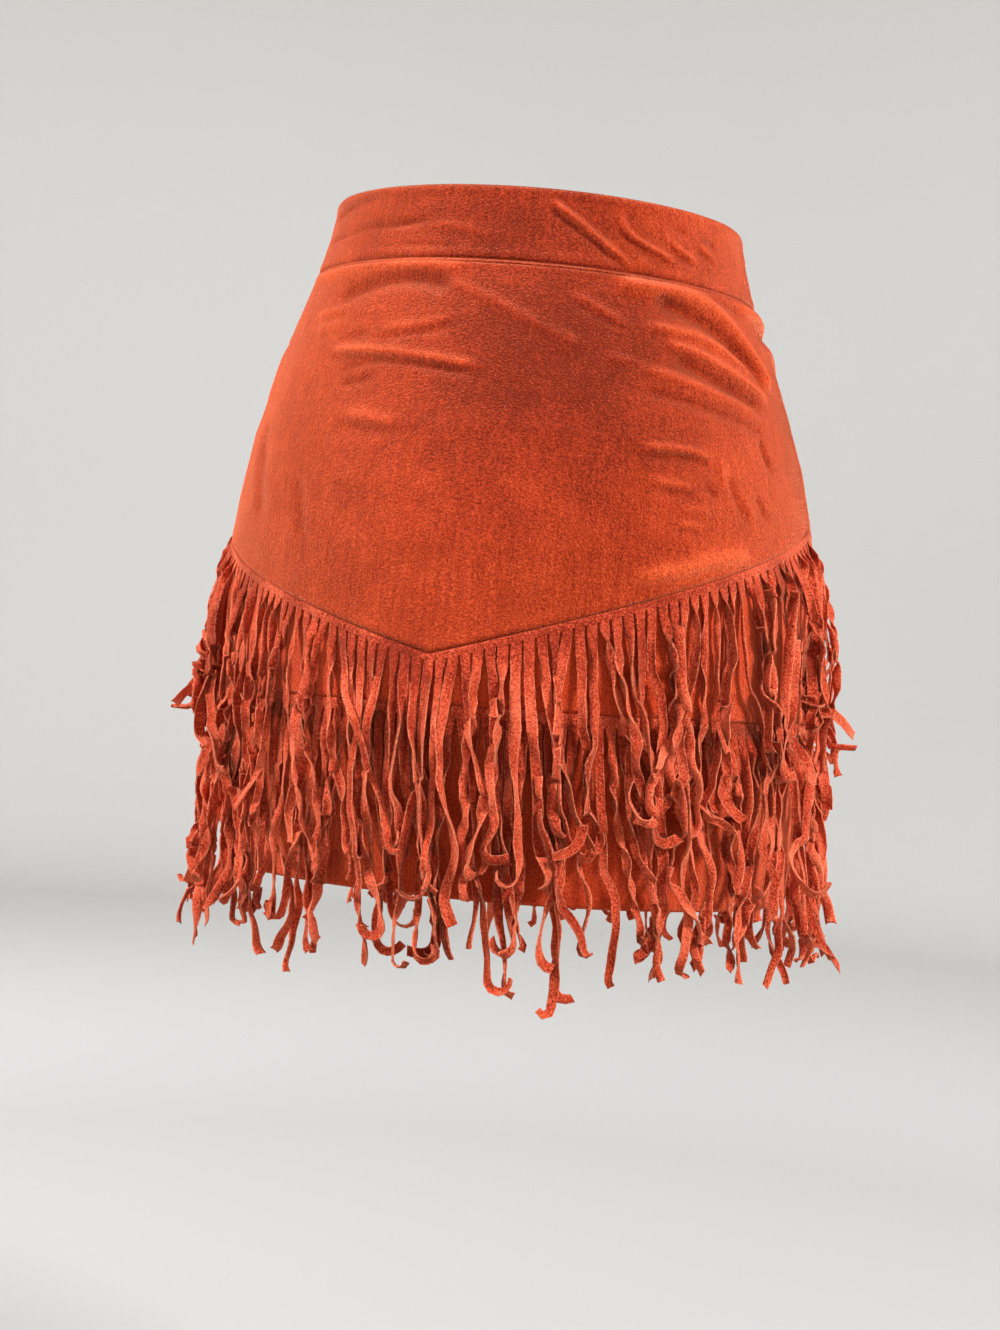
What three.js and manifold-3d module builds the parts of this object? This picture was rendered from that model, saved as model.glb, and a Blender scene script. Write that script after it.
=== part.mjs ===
// A fringed suede mini skirt, worn shape, hollow, open at the waist and at the hem.
// Millimetres, +Z up, front towards -Y, the wearer's left hand towards +X.
// The origin is the centre of the waist, halfway up the waistband.
import * as THREE from 'three';
import { mergeVertices } from 'three/addons/utils/BufferGeometryUtils.js';
import Module from 'manifold-3d';

// Cloth
const CLOTH = 1.2; // suede of the walls
const FRINGE_CLOTH = 1.0; // suede of the fringe strips
const GAP = 0.3; // clearance at every seam
const LAP = 6; // seam allowance hidden behind the seam above
const LAP_GAP = 0.5; // clearance between the faces of lapped pieces

// Heights of the seams, from the waist centre
const WAIST_TOP = 20;
const WAIST_SEAM = -20;
const VEE_SIDE = -145; // V seam at the side seams
const VEE_TIP = -225; // V seam at the centre front and centre back
const VEE_POWER = 1.05; // 1 is a straight V, more rounds its tip
const TIER_SEAM = -250; // straight seam between the middle panel and the hem panel
const HEM = -346;

// Worn shape: a row for each height, half widths in X, depth as a share of the width,
// and how far the ring is lifted at +X where the skirt sits a little askew
const SECTIONS = [
  { z: 60, halfWidth: 106, depth: 0.80, lift: -3.5 },
  { z: 20, halfWidth: 115, depth: 0.80, lift: -3.5 },
  { z: 0, halfWidth: 119, depth: 0.80, lift: -3.5 },
  { z: -20, halfWidth: 124.5, depth: 0.80, lift: -3.5 },
  { z: -50, halfWidth: 136, depth: 0.81, lift: -2.5 },
  { z: -80, halfWidth: 146, depth: 0.82, lift: -1 },
  { z: -110, halfWidth: 155, depth: 0.83, lift: 0.5 },
  { z: -140, halfWidth: 161, depth: 0.84, lift: 2 },
  { z: -170, halfWidth: 165.5, depth: 0.84, lift: 3 },
  { z: -220, halfWidth: 166.5, depth: 0.84, lift: 3 },
  { z: -280, halfWidth: 164.5, depth: 0.84, lift: 2.5 },
  { z: -346, halfWidth: 160, depth: 0.84, lift: 1.5 },
  { z: -420, halfWidth: 160, depth: 0.84, lift: 1 },
];
const MEAN_RADIUS = 0.92; // of the half width, all round a ring
const SIDE_SHIFT = -0.025; // the hem hangs this share of the drop towards +X
const PLUMB_BELOW = -220; // the fringe hangs straight down below this height

// Largest folds: from one place to another, height of a ridge (+) or depth of a
// trough (-), and half breadth. Turns in degrees from the centre front towards +X.
const FOLDS = [
  { turn: -34, z: -42, turnTo: -13, zTo: -27, height: -2.2, breadth: 8 },
  { turn: -12, z: -21, turnTo: 4, zTo: -43, height: 1.6, breadth: 9 },
  { turn: -24, z: -74, turnTo: 4, zTo: -80, height: 1.6, breadth: 10 },
  { turn: -24, z: -75, turnTo: -29, zTo: -92, height: -1.6, breadth: 9 },
  { turn: 34, z: -28, turnTo: 62, zTo: -33, height: 2.6, breadth: 9 },
  { turn: 62, z: -33, turnTo: 82, zTo: -66, height: 3.0, breadth: 10 },
  { turn: 40, z: -49, turnTo: 68, zTo: -60, height: 2.2, breadth: 8 },
  { turn: 45, z: -59, turnTo: 76, zTo: -76, height: 2.0, breadth: 8 },
  { turn: 38, z: -114, turnTo: 54, zTo: -120, height: 1.6, breadth: 10 },
  { turn: 73, z: -92, turnTo: 69, zTo: -142, height: -2.2, breadth: 9 },
  { turn: -54, z: -100, turnTo: -44, zTo: -166, height: -1.8, breadth: 12 },
  { turn: 128, z: -30, turnTo: 160, zTo: -44, height: 2.2, breadth: 9 },
  { turn: 118, z: -62, turnTo: 150, zTo: -70, height: -1.8, breadth: 10 },
  { turn: -150, z: -34, turnTo: -116, zTo: -42, height: 2.4, breadth: 9 },
  { turn: -138, z: -88, turnTo: -122, zTo: -130, height: -1.8, breadth: 11 },
  { turn: -92, z: -36, turnTo: -74, zTo: -58, height: 1.8, breadth: 9 },
];

const FOLD_SHARPNESS = 1.6; // how steeply a fold falls away beyond its half breadth
const FOLD_FREE = 18; // the cloth stays smooth this far above the V seam
const FOLD_FADE = 20; // and the folds grow to their full height over this much more

// Fringe: strands on each half of a tier, and how each tier hangs. Outward columns
// give the distance off the wall a third, two thirds and all the way down a strand.
const STRANDS = 62;
const STRAND_SHARE = 0.84; // of the pitch at the root
const TIP_SHARE = 0.74; // of the root's width, at the strand's end
const LANES = 3; // neighbours hang in turn close to the wall, further out, and outermost
const LANE_STEP = 2.2;
const LEAN = 0.075; // shared sideways lean towards +X, as a share of the drop
const LEAN_START = 0.4; // of that lean is there from the root, the rest grows downwards
const STRIP_OUTER = -0.2; // outer face of the strip, from the worn shape
// Sideways places of a strand's rings in millimetres, times its own sway and curl
const WAVES = [
  { sway: 1.2, curl: 0 },
  { sway: 3.6, curl: 1.2 },
  { sway: 2.2, curl: 4.2 },
];
const TIERS = {
  upper: { uncut: 4.5, length: 112, spread: 13, outward: [5.0, 7.8, 8.3] },
  lower: { uncut: 6.5, length: 124, spread: 14, outward: [1.3, 1.6, 2.2] },
};

// Zip at the centre back
const ZIP_TOP = 14;
const ZIP_BOTTOM = -158;
const TAPE = { width: 26, thickness: 0.6, recess: 0.7 };
const COIL = { width: 4.4, thickness: 1.3 };
const SLIDER = { width: 6.4, height: 10, plate: 1.5, lift: 0.3, z: 4 };
const BRIDGE = { width: 1.8, height: 7, reach: 5.3, holeHeight: 4.4, holeFrom: 2.0, holeTo: 4.3 };
const PULL = { thickness: 1.2, bar: 1.2, window: 4.9, neck: 5.6, width: 7.6, length: 24, slot: 2.8 };

// Colours
const YOKE_SUEDE = { color: 0xc4502f, roughness: 0.95, metalness: 0 };
const FRINGE_SUEDE = { color: 0xa8412b, roughness: 0.95, metalness: 0 };
const TAPE_CLOTH = { color: 0x7a2f22, roughness: 0.9, metalness: 0 };
const BRASS = { color: 0xb08d57, roughness: 0.35, metalness: 0.9 };

const RIGHT_ANGLE = Math.PI / 2;
const HALF_TURN = Math.PI;
const wasm = await Module();
wasm.setup();
const skirt = new THREE.Group();

// Straight-line reading of one column of the section table at a height
function section(z, column) {
  let row = 1;
  while (row < SECTIONS.length - 1 && z < SECTIONS[row].z) row += 1;
  const upper = SECTIONS[row - 1];
  const lower = SECTIONS[row];
  const share = THREE.MathUtils.clamp((upper.z - z) / (upper.z - lower.z), 0, 1);
  return upper[column] + (lower[column] - upper[column]) * share;
}

// Height of the V seam at a turn, the same on the front and the back
function veeHeight(turn) {
  const fromTip = Math.abs(Math.asin(Math.sin(turn))) / RIGHT_ANGLE;
  return VEE_TIP + (VEE_SIDE - VEE_TIP) * fromTip ** VEE_POWER;
}

// Height that the folds add at a place on the wall, dying out at the V seam
function foldHeight(turn, z) {
  const freedom = THREE.MathUtils.clamp((z - veeHeight(turn) - FOLD_FREE) / FOLD_FADE, 0, 1);
  const girth = section(z, 'halfWidth') * MEAN_RADIUS;
  let total = 0;
  for (const fold of FOLDS) {
    const from = THREE.MathUtils.degToRad(fold.turn);
    const to = THREE.MathUtils.degToRad(fold.turnTo);
    const along = [(to - from) * girth, fold.zTo - fold.z];
    const place = [(turn - from) * girth, z - fold.z];
    const length = Math.hypot(along[0], along[1]);
    const share = (place[0] * along[0] + place[1] * along[1]) / length ** 2;
    const kept = THREE.MathUtils.clamp(share, 0, 1);
    const away = Math.hypot(place[0] - kept * along[0], place[1] - kept * along[1]);
    total += fold.height * Math.exp(-((away / fold.breadth) ** 2) * FOLD_SHARPNESS);
  }
  return total * freedom;
}

// Point of the worn shape, moved out along its level normal
function place(turn, z, outward, plumb = false) {
  const level = plumb && z < PLUMB_BELOW ? PLUMB_BELOW : z;
  const halfWidth = section(level, 'halfWidth');
  const halfDepth = halfWidth * section(level, 'depth');
  const normal = new THREE.Vector2(halfDepth * Math.sin(turn), -halfWidth * Math.cos(turn)).normalize();
  const off = outward + (plumb ? 0 : foldHeight(turn, z));
  return new THREE.Vector3(
    halfWidth * Math.sin(turn) + SIDE_SHIFT * z + normal.x * off,
    -halfDepth * Math.cos(turn) + normal.y * off,
    z + section(z, 'lift') * Math.sin(turn),
  );
}

// Closed mesh from lists of quads and triangles that share points
function solid(points, faces) {
  const positions = new Float32Array(points.length * 3);
  points.forEach((point, index) => point.toArray(positions, index * 3));
  const geometry = new THREE.BufferGeometry();
  geometry.setAttribute('position', new THREE.BufferAttribute(positions, 3));
  const indices = [];
  for (const [a, b, c, d] of faces) {
    indices.push(a, b, c);
    if (d !== undefined) indices.push(a, c, d);
  }
  geometry.setIndex(indices);
  geometry.computeVertexNormals();
  return geometry;
}

// Thin closed sheet: pointAt gives a point from the shares of the way across and
// down, and from whether it lies on the outer face
function sheet(pointAt, columns, rows) {
  const points = [];
  for (const isOuter of [true, false]) {
    for (let row = 0; row <= rows; row += 1) {
      for (let column = 0; column <= columns; column += 1) {
        points.push(pointAt(column / columns, row / rows, isOuter));
      }
    }
  }
  const at = (side, row, column) => side * (rows + 1) * (columns + 1) + row * (columns + 1) + column;
  const faces = [];
  for (let row = 0; row < rows; row += 1) {
    const below = row + 1;
    for (let column = 0; column < columns; column += 1) {
      const next = column + 1;
      faces.push([at(0, row, column), at(0, below, column), at(0, below, next), at(0, row, next)]);
      faces.push([at(1, row, column), at(1, row, next), at(1, below, next), at(1, below, column)]);
    }
    faces.push([at(0, row, 0), at(1, row, 0), at(1, below, 0), at(0, below, 0)]);
    faces.push([at(0, row, columns), at(0, below, columns), at(1, below, columns), at(1, row, columns)]);
  }
  for (let column = 0; column < columns; column += 1) {
    const next = column + 1;
    faces.push([at(0, 0, column), at(0, 0, next), at(1, 0, next), at(1, 0, column)]);
    faces.push([at(0, rows, column), at(1, rows, column), at(1, rows, next), at(0, rows, next)]);
  }
  return solid(points, faces);
}

// Cloth wall between two turns and two seam heights, its outer face at an offset
// that may change evenly from the top edge to the bottom edge
function panel({ from, to, top, bottom, columns, rows, outer, outerBelow = outer }) {
  const pointAt = (across, down, isOuter) => {
    const turn = from + (to - from) * across;
    const z = top(turn) + (bottom(turn) - top(turn)) * down;
    const face = outer + (outerBelow - outer) * down;
    return place(turn, z, isOuter ? face : face - CLOTH);
  };
  return sheet(pointAt, columns, rows);
}

// Upright band of even width down the centre back, its outer face at an offset
function backBand({ top, bottom, width, thickness, outer, columns, rows }) {
  const pointAt = (across, down, isOuter) => {
    const z = top + (bottom - top) * down;
    const turn = HALF_TURN + ((across - 0.5) * width) / section(z, 'halfWidth');
    return place(turn, z, isOuter ? outer : outer - thickness);
  };
  return sheet(pointAt, columns, rows);
}

// Even scatter from -1 to 1 that is the same on every run, one for each index and use
function scatter(index, use) {
  const value = Math.sin(index * 12.9898 + use * 78.233) * 43758.5453;
  return (value - Math.floor(value)) * 2 - 1;
}

// Places of one strand's rings: turn, height and distance off the wall
function strandRings(tier, index, turn, rootZ) {
  const radius = section(PLUMB_BELOW, 'halfWidth') * MEAN_RADIUS;
  const lane = (index % LANES) * LANE_STEP;
  const length = tier.length + tier.spread * scatter(index, 1);
  const sway = scatter(index, 2);
  const curl = scatter(index, 3);
  return WAVES.map((wave, ring) => {
    const share = (ring + 1) / WAVES.length;
    const drop = length * share;
    const lean = LEAN * drop * (LEAN_START + (1 - LEAN_START) * share);
    const sideways = wave.sway * sway + wave.curl * curl + lean;
    return { share, turn: turn + sideways / radius, z: rootZ - drop, outward: tier.outward[ring] + lane };
  });
}

// Fringe strip with its strands, cut from one piece: a strip, uncut at its top edge
function fringe({ from, to, top, tier, first }) {
  const pitch = (to - from) / STRANDS;
  const half = (pitch * STRAND_SHARE) / 2;
  const edges = [from];
  for (let strand = 0; strand < STRANDS; strand += 1) {
    const middle = from + pitch * (strand + 0.5);
    edges.push(middle - half, middle + half);
  }
  edges.push(to);
  const inner = STRIP_OUTER - FRINGE_CLOTH;
  const points = [];
  for (const turn of edges) {
    const upper = top(turn) - GAP;
    points.push(place(turn, upper, STRIP_OUTER), place(turn, upper, inner));
    points.push(place(turn, upper - tier.uncut, STRIP_OUTER), place(turn, upper - tier.uncut, inner));
  }
  const faces = [];
  const last = (edges.length - 1) * 4;
  faces.push([0, 1, 3, 2]);
  faces.push([last, last + 2, last + 3, last + 1]);
  for (let column = 0; column < edges.length - 1; column += 1) {
    const a = column * 4;
    const b = a + 4;
    faces.push([a, a + 2, b + 2, b]);
    faces.push([a + 1, b + 1, b + 3, a + 3]);
    faces.push([a, b, b + 1, a + 1]);
    const isStrand = column % 2 === 1;
    if (!isStrand) {
      faces.push([a + 2, a + 3, b + 3, b + 2]);
      continue;
    }
    const strand = (column - 1) / 2;
    const turn = from + pitch * (strand + 0.5);
    let ringBefore = [a + 2, b + 2, b + 3, a + 3];
    for (const ring of strandRings(tier, first + strand, turn, top(turn) - GAP - tier.uncut)) {
      const reach = half * (1 + (TIP_SHARE - 1) * ring.share);
      const start = points.length;
      const near = ring.outward - FRINGE_CLOTH / 2;
      const far = ring.outward + FRINGE_CLOTH / 2;
      points.push(place(ring.turn - reach, ring.z, far, true), place(ring.turn + reach, ring.z, far, true));
      points.push(place(ring.turn + reach, ring.z, near, true), place(ring.turn - reach, ring.z, near, true));
      const ringNow = [start, start + 1, start + 2, start + 3];
      for (let side = 0; side < 4; side += 1) {
        const next = (side + 1) % 4;
        faces.push([ringBefore[side], ringNow[side], ringNow[next], ringBefore[next]]);
      }
      ringBefore = ringNow;
    }
    faces.push([ringBefore[0], ringBefore[3], ringBefore[2], ringBefore[1]]);
  }
  return solid(points, faces);
}

// Outline between corners given as [across, up] pairs
function outline(corners) {
  return new THREE.Shape(corners.map(([across, up]) => new THREE.Vector2(across, up)));
}

// Closed prism: an outline in Y and Z made as thick as the width, centred on X = 0
function prismAlongX(shape, width) {
  const geometry = new THREE.ExtrudeGeometry(shape, { depth: width, bevelEnabled: false });
  geometry.translate(0, 0, -width / 2);
  geometry.rotateY(RIGHT_ANGLE);
  geometry.rotateX(RIGHT_ANGLE);
  return geometry;
}

// Mesh as a solid that can be joined, with shared points merged
function toManifold(geometry) {
  const bare = geometry.clone();
  bare.deleteAttribute('normal');
  bare.deleteAttribute('uv');
  const merged = mergeVertices(bare, 1e-4);
  const mesh = new wasm.Mesh({
    numProp: 3,
    vertProperties: new Float32Array(merged.attributes.position.array),
    triVerts: new Uint32Array(merged.index.array),
  });
  return new wasm.Manifold(mesh);
}

function fromManifold(manifold) {
  const mesh = manifold.getMesh();
  const geometry = new THREE.BufferGeometry();
  geometry.setAttribute('position', new THREE.BufferAttribute(new Float32Array(mesh.vertProperties), 3));
  geometry.setIndex(new THREE.BufferAttribute(new Uint32Array(mesh.triVerts), 1));
  geometry.computeVertexNormals();
  return geometry;
}

// Slider: a plate flat on the cloth with a bridge that carries the pull tab's bar.
// Its own axes: Z up the zip, +Y out of the cloth, the bar's axis at hingeOut on Y.
function sliderGeometry() {
  const plate = new THREE.BoxGeometry(SLIDER.width, SLIDER.plate, SLIDER.height);
  plate.translate(0, SLIDER.lift + SLIDER.plate / 2, 0);
  const low = SLIDER.lift + SLIDER.plate / 2;
  const half = BRIDGE.height / 2;
  const arch = outline([[low, -half], [BRIDGE.reach - 1, -half], [BRIDGE.reach, -half + 1],
    [BRIDGE.reach, half - 1], [BRIDGE.reach - 1, half], [low, half]]);
  const hole = BRIDGE.holeHeight / 2;
  arch.holes.push(outline([[BRIDGE.holeFrom, -hole], [BRIDGE.holeTo, -hole],
    [BRIDGE.holeTo, hole], [BRIDGE.holeFrom, hole]]));
  return fromManifold(toManifold(plate).add(toManifold(prismAlongX(arch, BRIDGE.width))));
}

// Pull tab hanging from its bar, which lies on the origin along X
function pullGeometry() {
  const bar = PULL.bar / 2;
  const end = PULL.length - PULL.width / 2;
  const tab = new THREE.Shape();
  tab.moveTo(-PULL.neck / 2, bar);
  tab.lineTo(-PULL.width / 2, -end);
  tab.absarc(0, -end, PULL.width / 2, HALF_TURN, 2 * HALF_TURN, false);
  tab.lineTo(PULL.neck / 2, bar);
  const slot = PULL.slot / 2;
  tab.holes.push(outline([[-slot, -bar], [slot, -bar], [slot, -PULL.window], [-slot, -PULL.window]]));
  const options = { depth: PULL.thickness, bevelEnabled: false, curveSegments: 6 };
  const geometry = new THREE.ExtrudeGeometry(tab, options);
  geometry.translate(0, 0, -PULL.thickness / 2);
  geometry.rotateX(RIGHT_ANGLE);
  return geometry;
}

function addPiece(name, geometry, finish, parent = skirt) {
  const mesh = new THREE.Mesh(geometry, new THREE.MeshStandardMaterial(finish));
  mesh.name = name;
  parent.add(mesh);
  return mesh;
}

// Turns at which the cloth pieces start and end, half a gap away from each seam
const SEAM_TURN = GAP / 2 / SECTIONS[2].halfWidth;
const BACK_TURN = GAP / 2 / (SECTIONS[2].halfWidth * SECTIONS[2].depth);
const FRONT_HALF = { from: -RIGHT_ANGLE + SEAM_TURN, to: RIGHT_ANGLE - SEAM_TURN };
const BACK_HALF = { from: RIGHT_ANGLE + SEAM_TURN, to: 3 * RIGHT_ANGLE - SEAM_TURN };
const BACK_LEFT = { from: RIGHT_ANGLE + SEAM_TURN, to: HALF_TURN - BACK_TURN };
const BACK_RIGHT = { from: HALF_TURN + BACK_TURN, to: 3 * RIGHT_ANGLE - SEAM_TURN };
const level = (z) => () => z;

// Waistband
const waistband = { top: level(WAIST_TOP), bottom: level(WAIST_SEAM + GAP / 2), rows: 3, outer: 0 };
addPiece('waistband_front', panel({ ...waistband, ...FRONT_HALF, columns: 28 }), YOKE_SUEDE);
addPiece('waistband_back_left', panel({ ...waistband, ...BACK_LEFT, columns: 12 }), YOKE_SUEDE);
addPiece('waistband_back_right', panel({ ...waistband, ...BACK_RIGHT, columns: 12 }), YOKE_SUEDE);

// Yoke down to the V seam
const yoke = { top: level(WAIST_SEAM - GAP / 2), bottom: veeHeight, rows: 11, outer: 0 };
addPiece('yoke_front', panel({ ...yoke, ...FRONT_HALF, columns: 36 }), YOKE_SUEDE);
addPiece('yoke_back_left', panel({ ...yoke, ...BACK_LEFT, columns: 16 }), YOKE_SUEDE);
addPiece('yoke_back_right', panel({ ...yoke, ...BACK_RIGHT, columns: 16 }), YOKE_SUEDE);

// Panels behind the two fringes; the middle one comes out to meet the lower strip
const behind = -CLOTH - LAP_GAP;
const lapTop = (turn) => veeHeight(turn) + LAP;
const flush = { outer: behind, outerBelow: STRIP_OUTER };
const middle = { top: lapTop, bottom: level(TIER_SEAM + GAP / 2), rows: 3, ...flush };
addPiece('middle_front', panel({ ...middle, ...FRONT_HALF, columns: 36 }), FRINGE_SUEDE);
addPiece('middle_back', panel({ ...middle, ...BACK_HALF, columns: 32 }), FRINGE_SUEDE);
const hem = { top: level(TIER_SEAM - GAP / 2), bottom: level(HEM), rows: 3, outer: behind };
addPiece('hem_front', panel({ ...hem, ...FRONT_HALF, columns: 24 }), FRINGE_SUEDE);
addPiece('hem_back', panel({ ...hem, ...BACK_HALF, columns: 24 }), FRINGE_SUEDE);

// Fringe, two tiers, front and back
const tierSeams = { upper: veeHeight, lower: level(TIER_SEAM) };
for (const [name, tier] of Object.entries(TIERS)) {
  const top = tierSeams[name];
  addPiece(`fringe_${name}_front`, fringe({ ...FRONT_HALF, top, tier, first: 0 }), FRINGE_SUEDE);
  addPiece(`fringe_${name}_back`, fringe({ ...BACK_HALF, top, tier, first: STRANDS }), FRINGE_SUEDE);
}

// Zip at the centre back: the tape and the closed coil lie inside, the slider outside
const tapeOuter = -CLOTH - TAPE.recess;
const coilOuter = tapeOuter - TAPE.thickness - GAP;
const zipRun = { top: ZIP_TOP, bottom: ZIP_BOTTOM, rows: 18 };
addPiece('zip_tape', backBand({ ...zipRun, ...TAPE, outer: tapeOuter, columns: 2 }), TAPE_CLOTH);
addPiece('zip_coil', backBand({ ...zipRun, ...COIL, outer: coilOuter, columns: 1 }), BRASS);

const above = place(HALF_TURN, SLIDER.z + SLIDER.height / 2, 0);
const below = place(HALF_TURN, SLIDER.z - SLIDER.height / 2, 0);
const zipHead = new THREE.Group();
zipHead.position.copy(place(HALF_TURN, SLIDER.z, 0));
zipHead.rotation.x = Math.atan2(below.y - above.y, above.z - below.z);
skirt.add(zipHead);
addPiece('zip_slider', sliderGeometry(), BRASS, zipHead);
const pull = addPiece('zip_pull', pullGeometry(), BRASS, zipHead);
pull.position.y = (BRIDGE.holeFrom + BRIDGE.holeTo) / 2;

export default skirt;
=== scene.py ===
"""Fringed suede mini skirt: the looks of the worn cloth, its strands and its zip.

Sizes are millimetres unless a name says otherwise, turns are degrees from the centre
front towards +X, and heights are measured from the waist centre.
"""

import logging
import math
from collections.abc import Callable, Sequence
from dataclasses import dataclass, field
from enum import Enum

import bpy
import numpy as np
from mathutils import Matrix, Vector, noise


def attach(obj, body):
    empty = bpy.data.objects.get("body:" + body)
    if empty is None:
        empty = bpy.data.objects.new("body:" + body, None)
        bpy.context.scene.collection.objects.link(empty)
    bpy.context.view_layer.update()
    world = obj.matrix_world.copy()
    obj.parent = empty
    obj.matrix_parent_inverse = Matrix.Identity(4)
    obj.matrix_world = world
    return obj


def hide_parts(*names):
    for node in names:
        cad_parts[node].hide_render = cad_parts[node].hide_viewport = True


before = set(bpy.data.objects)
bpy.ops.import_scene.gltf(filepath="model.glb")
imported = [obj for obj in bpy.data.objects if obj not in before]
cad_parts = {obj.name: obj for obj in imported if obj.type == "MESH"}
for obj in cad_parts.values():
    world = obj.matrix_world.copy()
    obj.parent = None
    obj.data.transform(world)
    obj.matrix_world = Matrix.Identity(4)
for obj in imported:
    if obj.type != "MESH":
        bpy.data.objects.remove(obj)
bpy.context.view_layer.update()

MM = 0.001
CLOTH = 1.2
STRAND_CLOTH = 1.0
SEAM_GAP = 0.3
WAIST_TOP = 20.0
WAIST_SEAM = -20.0
VEE_SIDE = -145.0
VEE_TIP = -225.0
VEE_POWER = 1.05
TIER_SEAM = -250.0
HEM = -346.0
BEHIND = -1.7
STRIP_OUTER = -0.2
PLUMB_BELOW = -220.0
MEAN_RADIUS = 152.0
# Vertex attribute of painted shade (below 0) and painted light (above 0), with random tone on the strands
SHADE_AND_TONE = "nap_lie"

Edge = Callable[[np.ndarray], np.ndarray]
log = logging.getLogger("skirt")


class Half(Enum):
    """Stretches of the skirt between its seams, as (first turn, last turn)."""

    FRONT = (-89.93, 89.93)
    BACK = (90.07, 269.93)
    BACK_LEFT = (90.07, 179.91)
    BACK_RIGHT = (180.09, 269.93)


@dataclass(frozen=True)
class Station:
    """One level ring of the worn shape."""

    z: float
    half_width: float
    depth: float
    lift: float


@dataclass(frozen=True)
class Crease:
    """A soft ridge (positive height) or trough along a path on the cloth.

    The path's places are (turn, z), from left to right or from the top down. hollow
    sinks a trough along the lower side of a ridge, as a share of its height.
    """

    path: tuple[tuple[float, float], ...]
    height: float
    breadth: float
    hollow: float = 0.0


@dataclass(frozen=True)
class ShadePatch:
    """A soft patch of painted shade (negative amount) or painted light (positive amount).

    turn and wide are degrees, z and tall millimetres.
    """

    turn: float
    z: float
    wide: float
    tall: float
    amount: float


STATIONS = (
    Station(60, 106, 0.80, -3.5),
    Station(20, 115, 0.80, -3.5),
    Station(0, 119, 0.80, -3.5),
    Station(-20, 124.5, 0.80, -3.5),
    Station(-50, 136, 0.81, -2.5),
    Station(-80, 146, 0.82, -1),
    Station(-110, 155, 0.83, 0.5),
    Station(-140, 161, 0.84, 2),
    Station(-170, 165.5, 0.84, 3),
    Station(-220, 166.5, 0.84, 3),
    Station(-280, 164.5, 0.84, 2.5),
    Station(-346, 160, 0.84, 1.5),
    Station(-420, 160, 0.84, 1),
)

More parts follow.
